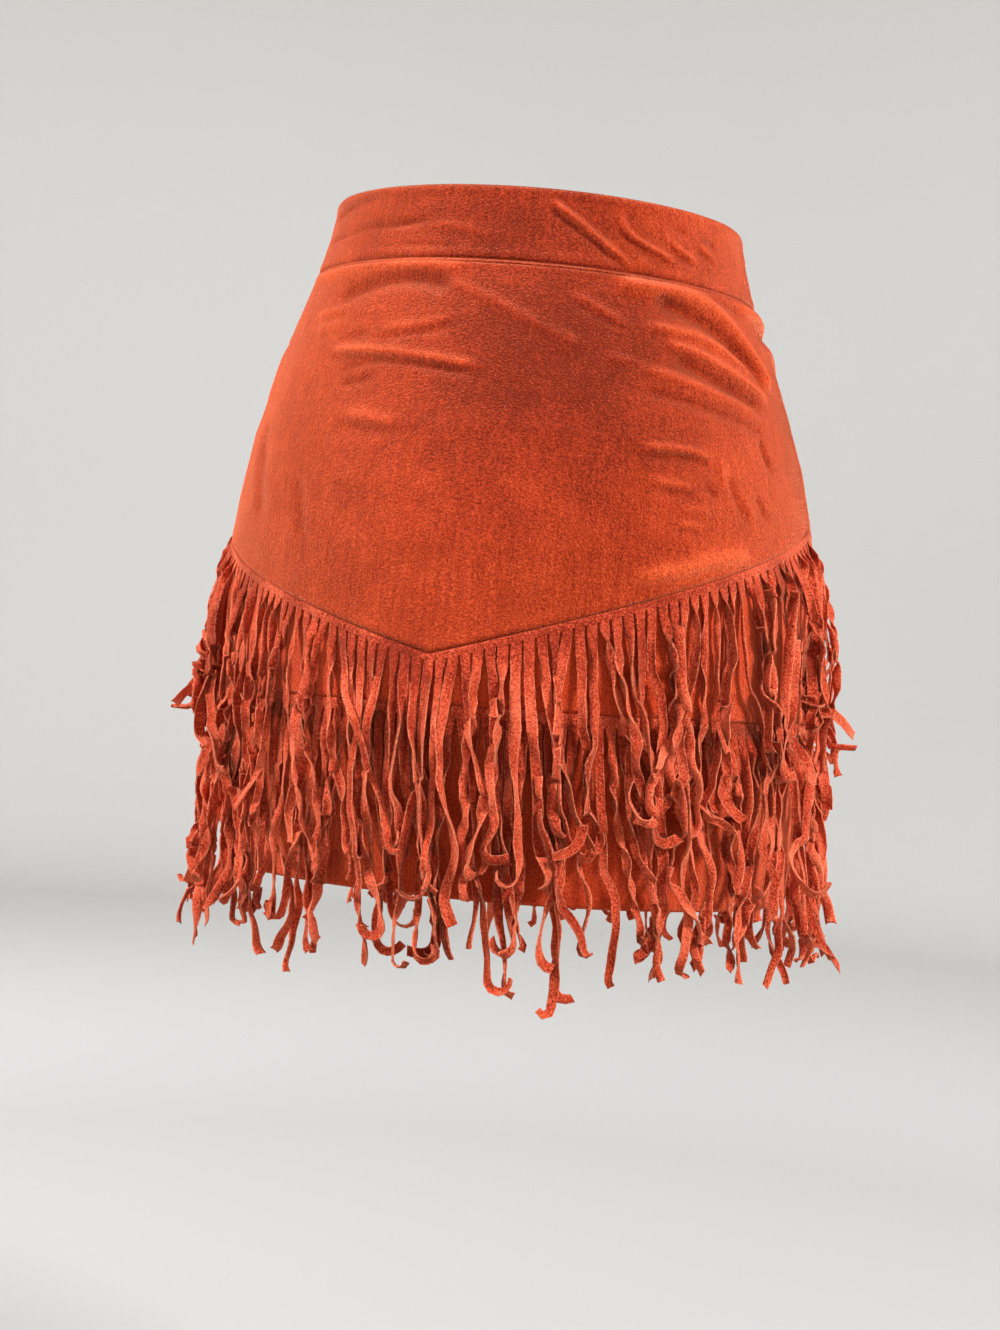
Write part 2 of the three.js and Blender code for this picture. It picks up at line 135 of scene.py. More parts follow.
# Creases of the yoke: left of the front, right of the front, sides, back
YOKE_CREASES = (
    Crease(((-62, -27), (-46, -25), (-28, -24), (-12, -24), (-2, -25)), 1.8, 3.6),
    Crease(((-38, -41), (-27, -35), (-19, -32), (-11, -33), (-5, -38)), -2.9, 4.4),
    Crease(((-6, -33), (4, -41), (17, -55), (27, -64)), 1.0, 2.8),
    Crease(((-47, -50), (-33, -47)), 1.0, 2.4),
    Crease(((-44, -57), (-32, -56)), 1.0, 2.4),
    Crease(((-21, -60), (-9, -57), (-3, -52)), 1.0, 2.6, 0.8),
    Crease(((-32, -65), (-23, -62)), -1.3, 2.8),
    Crease(((-34, -70), (-19, -71), (-6, -75), (5, -79)), 2.0, 2.4, 0.6),
    Crease(((-29, -81), (-19, -77)), -1.3, 2.2),
    Crease(((-28, -90), (-22, -88), (-18, -85)), -1.3, 2.2),
    Crease(((-25, -104), (-10, -110)), 1.1, 3.0, 0.9),
    Crease(((-34, -135), (-30, -157), (-29, -172)), -1.1, 4.0),
    Crease(((-55, -102), (-49, -134), (-44, -160)), -1.6, 5.5),
    Crease(((-68, -60), (-60, -96)), 1.2, 6.0),
    Crease(((34, -27), (50, -26), (59, -29), (66, -37), (74, -50), (84, -70)), 4.1, 4.2),
    Crease(((60, -24), (76, -31)), -1.1, 2.2),
    Crease(((74, -26), (88, -26), (106, -29)), 2.7, 3.8),
    Crease(((82, -38), (96, -37), (108, -42)), -2.0, 4.0),
    Crease(((43, -33), (57, -41), (65, -49), (79, -68)), -3.9, 4.4),
    Crease(((41, -48), (54, -49), (61, -53), (68, -59), (77, -67)), 2.0, 2.8),
    Crease(((45, -56), (53, -59), (61, -65), (77, -77)), 3.2, 2.8),
    Crease(((46, -64), (57, -73), (73, -84)), -3.5, 3.8),
    Crease(((38, -73), (44, -74), (56, -80), (71, -87)), 1.6, 3.0),
    Crease(((38, -84), (49, -88), (61, -93), (71, -98)), -1.6, 2.8),
    Crease(((23, -36), (31, -44), (36, -50)), 1.0, 2.4, 0.4),
    Crease(((30, -68), (37, -69)), 0.7, 2.2),
    Crease(((36, -115), (46, -113), (53, -116)), 1.6, 2.4, 1.0),
    Crease(((38, -132), (48, -133)), 1.3, 2.2, 0.8),
    Crease(((55, -114), (55, -124), (56, -134)), 1.1, 2.2),
    Crease(((56, -123), (58, -137), (61, -150)), -1.3, 2.0),
    Crease(((60, -132), (63, -147)), 1.0, 2.0),
    Crease(((68, -100), (71, -120)), -2.1, 2.6),
    Crease(((64, -132), (67, -146)), -1.5, 2.2),
    Crease(((50, -130), (53, -138)), -1.1, 2.0),
    Crease(((44, -145), (52, -144)), 0.9, 1.8),
    Crease(((43, -153), (49, -153)), 0.9, 1.8, 0.8),
    Crease(((35, -183), (44, -177), (50, -171), (61, -165)), 2.4, 4.5),
    Crease(((37, -169), (47, -166)), -1.0, 5.0),
    Crease(((92, -38), (106, -52), (114, -74)), 2.2, 4.2, 0.6),
    Crease(((-96, -34), (-84, -44), (-72, -60)), 2.0, 4.4, 0.5),
    Crease(((-100, -84), (-88, -96), (-78, -98)), 1.2, 3.6, 0.7),
    Crease(((96, -104), (104, -128)), -1.5, 3.6),
    Crease(((118, -27), (140, -26), (160, -28)), 1.8, 3.6),
    Crease(((124, -38), (142, -34), (162, -42)), -2.4, 4.2),
    Crease(((120, -62), (136, -60), (154, -70)), 1.8, 3.0, 0.7),
    Crease(((132, -92), (152, -98)), 1.3, 2.8, 0.8),
    Crease(((126, -118), (130, -144)), -1.3, 3.4),
    Crease(((200, -27), (222, -26), (242, -29)), 2.1, 3.8),
    Crease(((208, -37), (226, -34), (246, -44)), -2.7, 4.2),
    Crease(((204, -58), (222, -60), (240, -72)), 2.0, 3.0, 0.7),
    Crease(((214, -84), (234, -90)), 1.2, 2.8, 0.8),
    Crease(((228, -108), (236, -140)), -1.6, 4.0),
    Crease(((202, -130), (212, -128)), 1.0, 2.4, 0.8),
)

# Creases of the waistband: front, then back
BAND_CREASES = (
    Crease(((-62, 8), (-44, 14), (-33, 15)), -1.8, 1.9),
    Crease(((-60, -5), (-34, -1), (-24, -2), (-15, 1)), -1.7, 2.0),
    Crease(((-15, -3), (-7, -2), (3, -7)), 0.7, 2.8),
    Crease(((-24, -13), (-6, -14)), -0.6, 1.8),
    Crease(((17, 14), (24, 4), (31, -6), (39, -17)), 2.6, 2.0, 0.3),
    Crease(((36, 11), (37, 2), (41, -3), (52, -10)), 2.1, 1.9, 0.4),
    Crease(((49, 3), (54, -4), (60, -7)), 1.7, 1.9, 0.4),
    Crease(((60, 3), (68, -3)), 1.3, 1.9, 0.4),
    Crease(((40, -11), (44, -17)), 0.9, 1.5),
    Crease(((51, 9), (57, 6)), -1.0, 2.2),
    Crease(((65, 6), (69, 3)), -1.0, 2.2),
    Crease(((100, 12), (114, 0), (124, -12)), 1.3, 1.9),
    Crease(((130, 11), (152, 13)), -1.0, 1.8),
    Crease(((126, -3), (156, -4)), -1.0, 1.9),
    Crease(((200, 13), (208, 2), (214, -12)), 1.2, 1.9),
    Crease(((220, 10), (244, 13)), -1.1, 1.8),
    Crease(((222, -5), (250, -2)), -1.0, 1.9),
)

# Creases of the panels behind the fringe
UNDER_CREASES = (
    Crease(((-58, -256), (-52, -330)), 1.2, 8.0),
    Crease(((-24, -262), (-17, -340)), -1.2, 8.0),
    Crease(((12, -262), (17, -336)), 1.1, 7.0),
    Crease(((30, -300), (58, -308)), 0.9, 4.0, 0.6),
    Crease(((46, -270), (41, -340)), -1.3, 8.0),
    Crease(((72, -262), (66, -320)), 1.2, 8.0),
    Crease(((112, -262), (118, -334)), 1.2, 8.0),
    Crease(((150, -264), (146, -340)), -1.2, 8.0),
    Crease(((196, -262), (202, -336)), 1.1, 8.0),
    Crease(((236, -262), (230, -334)), -1.2, 8.0),
)

# Painted shade and painted light on the yoke, set to how light falls: front, back, then the two sides
YOKE_PAINTED_SHADE = (
    ShadePatch(18, -56, 30, 50, -0.86),
    ShadePatch(18, -118, 34, 64, -0.46),
    ShadePatch(-2, -205, 40, 36, -0.06),
    ShadePatch(50, -178, 12, 12, 0.25),
    ShadePatch(-32, -90, 18, 60, 0.08),
    ShadePatch(-62, -110, 14, 90, 0.22),
    ShadePatch(166, -74, 30, 52, -0.42),
    ShadePatch(205, -150, 34, 46, -0.30),
    ShadePatch(236, -84, 20, 50, 0.12),
    ShadePatch(105, -90, 22, 120, -0.45),
    ShadePatch(-105, -90, 22, 120, -0.45),
)

# Painted shade and painted light on the waistband, set to how light falls: front, back, then the two sides
BAND_PAINTED_SHADE = (
    ShadePatch(12, 0, 34, 60, -0.85),
    ShadePatch(58, -4, 14, 16, -0.12),
    ShadePatch(170, 0, 30, 60, -0.42),
    ShadePatch(226, 4, 22, 30, -0.14),
    ShadePatch(105, 0, 22, 60, -0.4),
    ShadePatch(-105, 0, 22, 60, -0.4),
)

# Creases of the panels between the two strips
MIDDLE_CREASES = (
    Crease(((30, -222), (52, -226)), 0.8, 3.0, 0.8),
    Crease(((34, -236), (60, -233)), 0.7, 2.6, 0.8),
    Crease(((-62, -196), (-48, -222)), 0.9, 5.0),
    Crease(((128, -214), (150, -220)), 0.8, 3.0, 0.8),
    Crease(((222, -210), (244, -206)), 0.8, 3.0, 0.8),
)


def smooth_step(value: np.ndarray | float) -> np.ndarray:
    """Smooth rise from 0 to 1 as value goes from 0 to 1."""
    held = np.clip(value, 0.0, 1.0)
    return held * held * (3.0 - 2.0 * held)


@dataclass(frozen=True)
class WornShape:
    """The skirt's worn form: level rings, the V seam and the creases on them."""

    stations: tuple[Station, ...] = STATIONS
    side_shift: float = -0.025

    def read(self, z: np.ndarray, column: str) -> np.ndarray:
        """Straight-line reading of one column of the station table at heights z."""
        heights = np.array([-station.z for station in self.stations])
        values = np.array([getattr(station, column) for station in self.stations])
        return np.interp(-np.asarray(z, dtype=float), heights, values)

    def vee(self, turn: np.ndarray) -> np.ndarray:
        """Height of the V seam at turns in degrees, the same front and back."""
        fold_back = np.abs(np.arcsin(np.clip(np.sin(np.radians(turn)), -1, 1))) / (math.pi / 2)
        return VEE_TIP + (VEE_SIDE - VEE_TIP) * fold_back**VEE_POWER

    def relief(self, turn: np.ndarray, z: np.ndarray, creases: Sequence[Crease]) -> np.ndarray:
        """Height that creases add to the cloth.

        Args:
            turn: turns in degrees.
            z: heights in millimetres, the same shape as turn.
            creases: the creases that this cloth has.

        Returns:
            The heights, positive outwards.
        """
        per_degree = self.read(z, "half_width") * 0.92 * math.pi / 180.0
        total = np.zeros_like(z, dtype=float)
        for crease in creases:
            first = crease.path[0][0]
            across = ((turn - first + 180.0) % 360.0 - 180.0) * per_degree
            knots = self.rounded_path(crease.path)
            spans = np.hypot(*np.diff(knots, axis=0).T)
            nearest = np.full_like(total, 1e6)
            above = np.zeros_like(total)
            walked = np.zeros_like(total)
            for number, span in enumerate(spans):
                unit = (knots[number + 1] - knots[number]) / span
                held = np.clip((across - knots[number, 0]) * unit[0] + (z - knots[number, 1]) * unit[1], 0, span)
                gap_x = across - knots[number, 0] - held * unit[0]
                gap_z = z - knots[number, 1] - held * unit[1]
                gap = np.hypot(gap_x, gap_z)
                closer = gap < nearest
                nearest = np.where(closer, gap, nearest)
                above = np.where(closer, unit[0] * gap_z - unit[1] * gap_x, above)
                walked = np.where(closer, spans[:number].sum() + held, walked)
            whole = spans.sum()
            ends = min(0.4 * whole, 12.0)
            taper = smooth_step(0.2 + walked / ends) * smooth_step(0.2 + (whole - walked) / ends)
            total += crease.height * taper * np.exp(-((nearest / crease.breadth) ** 2))
            if crease.hollow:
                aside = np.where(above < 0, nearest - 1.9 * crease.breadth, 9.0 * crease.breadth)
                total -= crease.height * crease.hollow * taper * np.exp(-((aside / crease.breadth) ** 2))
        return total

    @staticmethod
    def nap_lie(turn: np.ndarray, z: np.ndarray, patches: Sequence[ShadePatch]) -> np.ndarray:
        """Sum of the patches of painted shade and painted light at turns and heights."""
        total = np.zeros_like(z, dtype=float)
        for patch in patches:
            aside = ((turn - patch.turn + 180.0) % 360.0 - 180.0) / patch.wide
            total += patch.amount * np.exp(-(aside**2) - ((z - patch.z) / patch.tall) ** 2)
        return total

    def rounded_path(self, path: Sequence[tuple[float, float]]) -> np.ndarray:
        """A crease's path in millimetres from its first turn, its corners cut twice."""
        places = np.array(path, dtype=float)
        per_degree = self.read(places[:, 1].mean(), "half_width") * 0.92 * math.pi / 180.0
        knots = np.stack([(places[:, 0] - places[0, 0]) * per_degree, places[:, 1]], axis=-1)
        for _ in range(2):
            quarter = 0.75 * knots[:-1] + 0.25 * knots[1:]
            three = 0.25 * knots[:-1] + 0.75 * knots[1:]
            middle = np.stack([quarter, three], axis=1).reshape(-1, 2)[1:-1]
            knots = np.concatenate([knots[:1], middle, knots[-1:]]) if len(middle) else knots
        return knots

    def place(self, turn: np.ndarray, z: np.ndarray, outward: np.ndarray, plumb: bool = False) -> np.ndarray:
        """Points of the worn form moved out along its level normal.

        Args:
            turn: turns in degrees.
            z: heights in millimetres.
            outward: distances off the form in millimetres.
            plumb: whether the rings below the hips keep the hips' size, as for
                strands that hang straight down.

        Returns:
            An array of points in millimetres, its last axis X, Y and Z.
        """
        level = np.maximum(z, PLUMB_BELOW) if plumb else z
        half_width = self.read(level, "half_width")
        half_depth = half_width * self.read(level, "depth")
        sine, cosine = np.sin(np.radians(turn)), np.cos(np.radians(turn))
        normal_x, normal_y = half_depth * sine, -half_width * cosine
        size = np.hypot(normal_x, normal_y)
        x = half_width * sine + self.side_shift * z + normal_x / size * outward
        y = -half_depth * cosine + normal_y / size * outward
        return np.stack([x, y, z + self.read(z, "lift") * sine], axis=-1)


class Bench:
    """Common steps of making a piece: mesh, modifiers, shading and hand-over."""

    @staticmethod
    def mesh(
        name: str, points: np.ndarray, faces: list, uv: np.ndarray | None = None, shade_and_tone: np.ndarray | None = None
    ) -> bpy.types.Object:
        """Makes a mesh object.

        Args:
            name: the piece's name.
            points: vertices in millimetres.
            faces: vertex indices of each face.
            uv: a pair for each vertex, or none.
            shade_and_tone: painted shade (below 0) and painted light (above 0) at each vertex, with random tone on the
                strands, or none.

        Returns:
            The new object, with its place in its mesh.
        """
        data = bpy.data.meshes.new(name)
        data.from_pydata((np.asarray(points) * MM).tolist(), [], faces)
        if uv is not None:
            layer = data.uv_layers.new(name="cloth")
            corners = np.empty(len(data.loops), dtype=np.int32)
            data.loops.foreach_get("vertex_index", corners)
            layer.data.foreach_set("uv", np.asarray(uv, dtype=np.float32)[corners].ravel())
        if shade_and_tone is not None:
            values = data.attributes.new(SHADE_AND_TONE, "FLOAT", "POINT")
            values.data.foreach_set("value", np.asarray(shade_and_tone, dtype=np.float32).ravel())
        data.update()
        piece = bpy.data.objects.new(name, data)
        bpy.context.scene.collection.objects.link(piece)
        return piece

    @staticmethod
    def pick(piece: bpy.types.Object) -> None:
        """Makes piece the only selected object and the active one."""
        bpy.ops.object.select_all(action="DESELECT")
        piece.select_set(True)
        bpy.context.view_layer.objects.active = piece

    @classmethod
    def apply(cls, piece: bpy.types.Object) -> None:
        """Applies all of a piece's modifiers in order."""
        cls.pick(piece)
        for modifier in list(piece.modifiers):
            bpy.ops.object.modifier_apply(modifier=modifier.name)

    @classmethod
    def smooth(cls, piece: bpy.types.Object, angle: float = 40.0) -> None:
        """Shades a piece smooth, but for edges sharper than angle in degrees."""
        cls.pick(piece)
        bpy.ops.object.shade_smooth_by_angle(angle=math.radians(angle))

    @staticmethod
    def hand_over(
        piece: bpy.types.Object, body: str, slot: str, material: bpy.types.Material, nodes: Sequence[str] = ()
    ) -> None:
        """Gives a piece its material and body, and hides the nodes that it stands for."""
        piece.data.materials.clear()
        piece.data.materials.append(material)
        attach(piece, body)
        if nodes:
            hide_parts(*nodes)
        log.info("%s: %d faces", piece.name, len(piece.data.polygons))


class NodeSheet:
    """Small helper that adds and links the nodes of a shader tree."""

    def __init__(self, tree: bpy.types.NodeTree) -> None:
        """Keeps the tree that nodes are added to."""
        self.tree = tree

    def add(self, kind: str, **settings: object) -> bpy.types.Node:
        """Adds a node and sets its named properties."""
        node = self.tree.nodes.new(kind)
        for name, value in settings.items():
            setattr(node, name, value)
        return node

    def link(self, source: bpy.types.NodeSocket, target: bpy.types.NodeSocket) -> None:
        """Links one socket to another."""
        self.tree.links.new(source, target)

    def noise(self, vector: bpy.types.NodeSocket, scale: float, detail: float, rough: float = 0.55) -> bpy.types.NodeSocket:
        """Adds a noise texture on vector and gives its value."""
        node = self.add("ShaderNodeTexNoise")
        node.inputs["Scale"].default_value = scale
        node.inputs["Detail"].default_value = detail
        node.inputs["Roughness"].default_value = rough
        self.link(vector, node.inputs["Vector"])
        return node.outputs["Fac"]

    def maths(self, operation: str, first: object, second: object, third: object = None, clamp: bool = False) -> bpy.types.NodeSocket:
        """Adds a Math node on sockets or numbers and gives its value."""
        node = self.add("ShaderNodeMath", operation=operation, use_clamp=clamp)
        for socket, value in zip(node.inputs, (first, second, third)):
            if value is None:
                continue
            if isinstance(value, bpy.types.NodeSocket):
                self.link(value, socket)
            else:
                socket.default_value = value
        return node.outputs[0]

    def mix(self, share: object, first: object, second: object) -> bpy.types.NodeSocket:
        """Adds a colour mix and gives its colour."""
        node = self.add("ShaderNodeMix", data_type="RGBA")
        for socket, value in ((node.inputs[0], share), (node.inputs[6], first), (node.inputs[7], second)):
            if isinstance(value, bpy.types.NodeSocket):
                self.link(value, socket)
            else:
                socket.default_value = value
        return node.outputs[2]


class NapGroup:
    """Shader group of a short suede nap: colour, height and roughness."""

    name = "suede_nap"

    @classmethod
    def tree(cls) -> bpy.types.NodeTree:
        """The group's tree, built the first time it is asked for."""
        if cls.name in bpy.data.node_groups:
            return bpy.data.node_groups[cls.name]
        tree = bpy.data.node_groups.new(cls.name, "ShaderNodeTree")
        face = tree.interface
        face.new_socket("Vector", in_out="INPUT", socket_type="NodeSocketVector")
        for label in ("Dark", "Base", "Light"):
            face.new_socket(label, in_out="INPUT", socket_type="NodeSocketColor")
        for label, value in (("Grain", 0.5), ("Cloud", 0.5), ("Brush", 0.4)):
            socket = face.new_socket(label, in_out="INPUT", socket_type="NodeSocketFloat")
            socket.default_value = value
        face.new_socket("Lie", in_out="INPUT", socket_type="NodeSocketFloat")
        face.new_socket("Color", in_out="OUTPUT", socket_type="NodeSocketColor")
        face.new_socket("Height", in_out="OUTPUT", socket_type="NodeSocketFloat")
        face.new_socket("Roughness", in_out="OUTPUT", socket_type="NodeSocketFloat")
        sheet = NodeSheet(tree)
        enter = sheet.add("NodeGroupInput")
        leave = sheet.add("NodeGroupOutput")
        vector = enter.outputs["Vector"]
        stretch = sheet.add("ShaderNodeMapping")
        stretch.inputs["Scale"].default_value = (1.0, 1.0, 0.07)
        sheet.link(vector, stretch.inputs["Vector"])
        grain = sheet.noise(vector, 2000.0, 3.0, 0.6)
        fleck = sheet.noise(vector, 900.0, 2.0, 0.6)
        cloud = sheet.noise(vector, 30.0, 4.0, 0.55)
        brush = sheet.noise(stretch.outputs["Vector"], 420.0, 3.0, 0.6)
        tone = sheet.maths("MULTIPLY", sheet.maths("SUBTRACT", grain, 0.5), enter.outputs["Grain"])
        tone = sheet.maths("MULTIPLY_ADD", sheet.maths("SUBTRACT", fleck, 0.5), enter.outputs["Grain"], tone)
        tone = sheet.maths("MULTIPLY_ADD", sheet.maths("SUBTRACT", cloud, 0.5), enter.outputs["Cloud"], tone)
        tone = sheet.maths("MULTIPLY_ADD", sheet.maths("SUBTRACT", brush, 0.5), enter.outputs["Brush"], tone)
        # The attribute's painted shade and painted light move the tone towards the dark or the light colour
        tone = sheet.maths("MULTIPLY_ADD", tone, 5.0, enter.outputs["Lie"])
        lighter = sheet.maths("MAXIMUM", tone, 0.0, clamp=True)
        darker = sheet.maths("MAXIMUM", sheet.maths("MULTIPLY", tone, -1.0), 0.0, clamp=True)
        colour = sheet.mix(lighter, enter.outputs["Base"], enter.outputs["Light"])
        colour = sheet.mix(darker, colour, enter.outputs["Dark"])
        sheet.link(colour, leave.inputs["Color"])
        height = sheet.maths("MULTIPLY_ADD", fleck, 1.0, sheet.maths("MULTIPLY", grain, 0.5))
        height = sheet.maths("MULTIPLY_ADD", brush, 0.4, height)
        sheet.link(height, leave.inputs["Height"])
        rough = sheet.maths("MULTIPLY_ADD", fleck, 0.16, 0.82)
        sheet.link(rough, leave.inputs["Roughness"])
        return tree


@dataclass(frozen=True)
class SuedeFinish:
    """Suede with a short nap, in three linear colours and its noise amounts."""

    name: str
    dark: tuple[float, float, float]
    base: tuple[float, float, float]
    light: tuple[float, float, float]
    grain: float = 0.52
    cloud: float = 0.2
    brush: float = 0.2
    relief: float = 0.0016
    sheen: float = 1.0
    cut_edge: tuple[float, float, float] | None = None

    def material(self) -> bpy.types.Material:
        """Builds the material.

        Returns:
            A material whose nap follows the piece's own place. With a cut edge, the
            cloth map's first number, 0 in the middle of a strand and 1 at its
            sides, brings in the paler fuzz.
        """
        material = bpy.data.materials.new(self.name)
        material.use_nodes = True
        sheet = NodeSheet(material.node_tree)
        shader = material.node_tree.nodes["Principled BSDF"]
        place = sheet.add("ShaderNodeTexCoord")
        nap = sheet.add("ShaderNodeGroup", node_tree=NapGroup.tree())
        sheet.link(place.outputs["Object"], nap.inputs["Vector"])
        for label, colour in (("Dark", self.dark), ("Base", self.base), ("Light", self.light)):
            nap.inputs[label].default_value = (*colour, 1.0)
        for label, value in (("Grain", self.grain), ("Cloud", self.cloud), ("Brush", self.brush)):
            nap.inputs[label].default_value = value
        # Painted shade and painted light stored on the vertices
        shade_and_tone = sheet.add("ShaderNodeAttribute", attribute_name=SHADE_AND_TONE)
        sheet.link(shade_and_tone.outputs["Fac"], nap.inputs["Lie"])
        colour = nap.outputs["Color"]
        if self.cut_edge is not None:
            across = sheet.add("ShaderNodeSeparateXYZ")
            sheet.link(place.outputs["UV"], across.inputs[0])
            ragged = sheet.noise(place.outputs["Object"], 620.0, 3.0, 0.7)
            reach = sheet.maths("MULTIPLY_ADD", sheet.maths("SUBTRACT", ragged, 0.5), 0.9, across.outputs["X"])
            fuzz = sheet.maths("MULTIPLY", sheet.maths("SUBTRACT", reach, 0.78), 3.0, clamp=True)
            below = sheet.maths("MULTIPLY_ADD", across.outputs["Y"], 60.0, -0.3, clamp=True)
            share = sheet.maths("MULTIPLY", sheet.maths("MULTIPLY", fuzz, below), 0.7)
            colour = sheet.mix(share, colour, (*self.cut_edge, 1.0))
        sheet.link(colour, shader.inputs["Base Color"])
        sheet.link(nap.outputs["Roughness"], shader.inputs["Roughness"])
        bump = sheet.add("ShaderNodeBump")
        bump.inputs["Distance"].default_value = self.relief
        bump.inputs["Strength"].default_value = 0.9
        sheet.link(nap.outputs["Height"], bump.inputs["Height"])
        sheet.link(bump.outputs["Normal"], shader.inputs["Normal"])
        shader.inputs["Specular IOR Level"].default_value = 0.08
        shader.inputs["Sheen Weight"].default_value = self.sheen
        shader.inputs["Sheen Roughness"].default_value = 0.28
        shader.inputs["Sheen Tint"].default_value = (1.0, 0.36, 0.19, 1.0)
        return material


@dataclass(frozen=True)
class TapeFinish:
    """Woven zip tape."""

    name: str = "zip_tape_weave"
    colour: tuple[float, float, float] = (0.20, 0.030, 0.018)
    pick: float = 0.0006

    def material(self) -> bpy.types.Material:
        """Builds the material: a fine rib across the tape."""
        material = bpy.data.materials.new(self.name)
        material.use_nodes = True
        sheet = NodeSheet(material.node_tree)
        shader = material.node_tree.nodes["Principled BSDF"]
        place = sheet.add("ShaderNodeTexCoord")
        rib = sheet.add("ShaderNodeTexWave", wave_type="BANDS", bands_direction="Z")
        rib.inputs["Scale"].default_value = 1.0 / (self.pick * 20.0)
        rib.inputs["Distortion"].default_value = 0.6
        sheet.link(place.outputs["Object"], rib.inputs["Vector"])
        pale = tuple(min(1.0, value * 1.7) for value in self.colour)
        colour = sheet.mix(rib.outputs["Fac"], (*self.colour, 1.0), (*pale, 1.0))
        sheet.link(colour, shader.inputs["Base Color"])
        bump = sheet.add("ShaderNodeBump")
        bump.inputs["Distance"].default_value = 0.0001
        sheet.link(rib.outputs["Fac"], bump.inputs["Height"])
        sheet.link(bump.outputs["Normal"], shader.inputs["Normal"])
        shader.inputs["Roughness"].default_value = 0.9
        return material


@dataclass(frozen=True)
class BrassFinish:
    """Cast brass, worn bright on its high places."""

    name: str = "zip_brass"
    bright: tuple[float, float, float] = (0.70, 0.48, 0.20)
    dull: tuple[float, float, float] = (0.28, 0.17, 0.07)

    def material(self) -> bpy.types.Material:
        """Builds the material: tarnish in soft patches and fine scratches."""
        material = bpy.data.materials.new(self.name)
        material.use_nodes = True
        sheet = NodeSheet(material.node_tree)
        shader = material.node_tree.nodes["Principled BSDF"]
        place = sheet.add("ShaderNodeTexCoord")
        tarnish = sheet.noise(place.outputs["Object"], 380.0, 5.0, 0.6)
        worn = sheet.maths("MULTIPLY_ADD", tarnish, 2.4, -0.75, clamp=True)
        sheet.link(sheet.mix(worn, (*self.dull, 1.0), (*self.bright, 1.0)), shader.inputs["Base Color"])
        sheet.link(sheet.maths("MULTIPLY_ADD", tarnish, -0.35, 0.52), shader.inputs["Roughness"])
        shader.inputs["Metallic"].default_value = 1.0
        scratch = sheet.noise(place.outputs["Object"], 2600.0, 2.0, 0.6)
        bump = sheet.add("ShaderNodeBump")
        bump.inputs["Distance"].default_value = 0.00004
        sheet.link(scratch, bump.inputs["Height"])
        sheet.link(bump.outputs["Normal"], shader.inputs["Normal"])
        return material


YOKE_SUEDE = SuedeFinish("suede_smooth", (0.15, 0.012, 0.0035), (0.46, 0.044, 0.0105), (0.82, 0.120, 0.034))
BAND_SUEDE = SuedeFinish("suede_waistband", (0.15, 0.012, 0.0035), (0.48, 0.046, 0.011), (0.84, 0.124, 0.035))
# Paler suede for the panels behind the fringe: painted light that lifts the shade the strands cast on them
UNDER_SUEDE = SuedeFinish("suede_under", (0.30, 0.022, 0.006), (0.64, 0.060, 0.016), (0.84, 0.115, 0.038))
STRAND_SUEDE = SuedeFinish(
    "suede_strands",
    (0.25, 0.020, 0.008),
    (0.63, 0.068, 0.025),
    (0.92, 0.175, 0.085),
    grain=0.8,
    cloud=0.8,
    brush=0.12,
    cut_edge=(0.98, 0.30, 0.16),
)
THREAD = SuedeFinish("seam_thread", (0.26, 0.02, 0.01), (0.40, 0.04, 0.018), (0.55, 0.08, 0.035), grain=0.2)


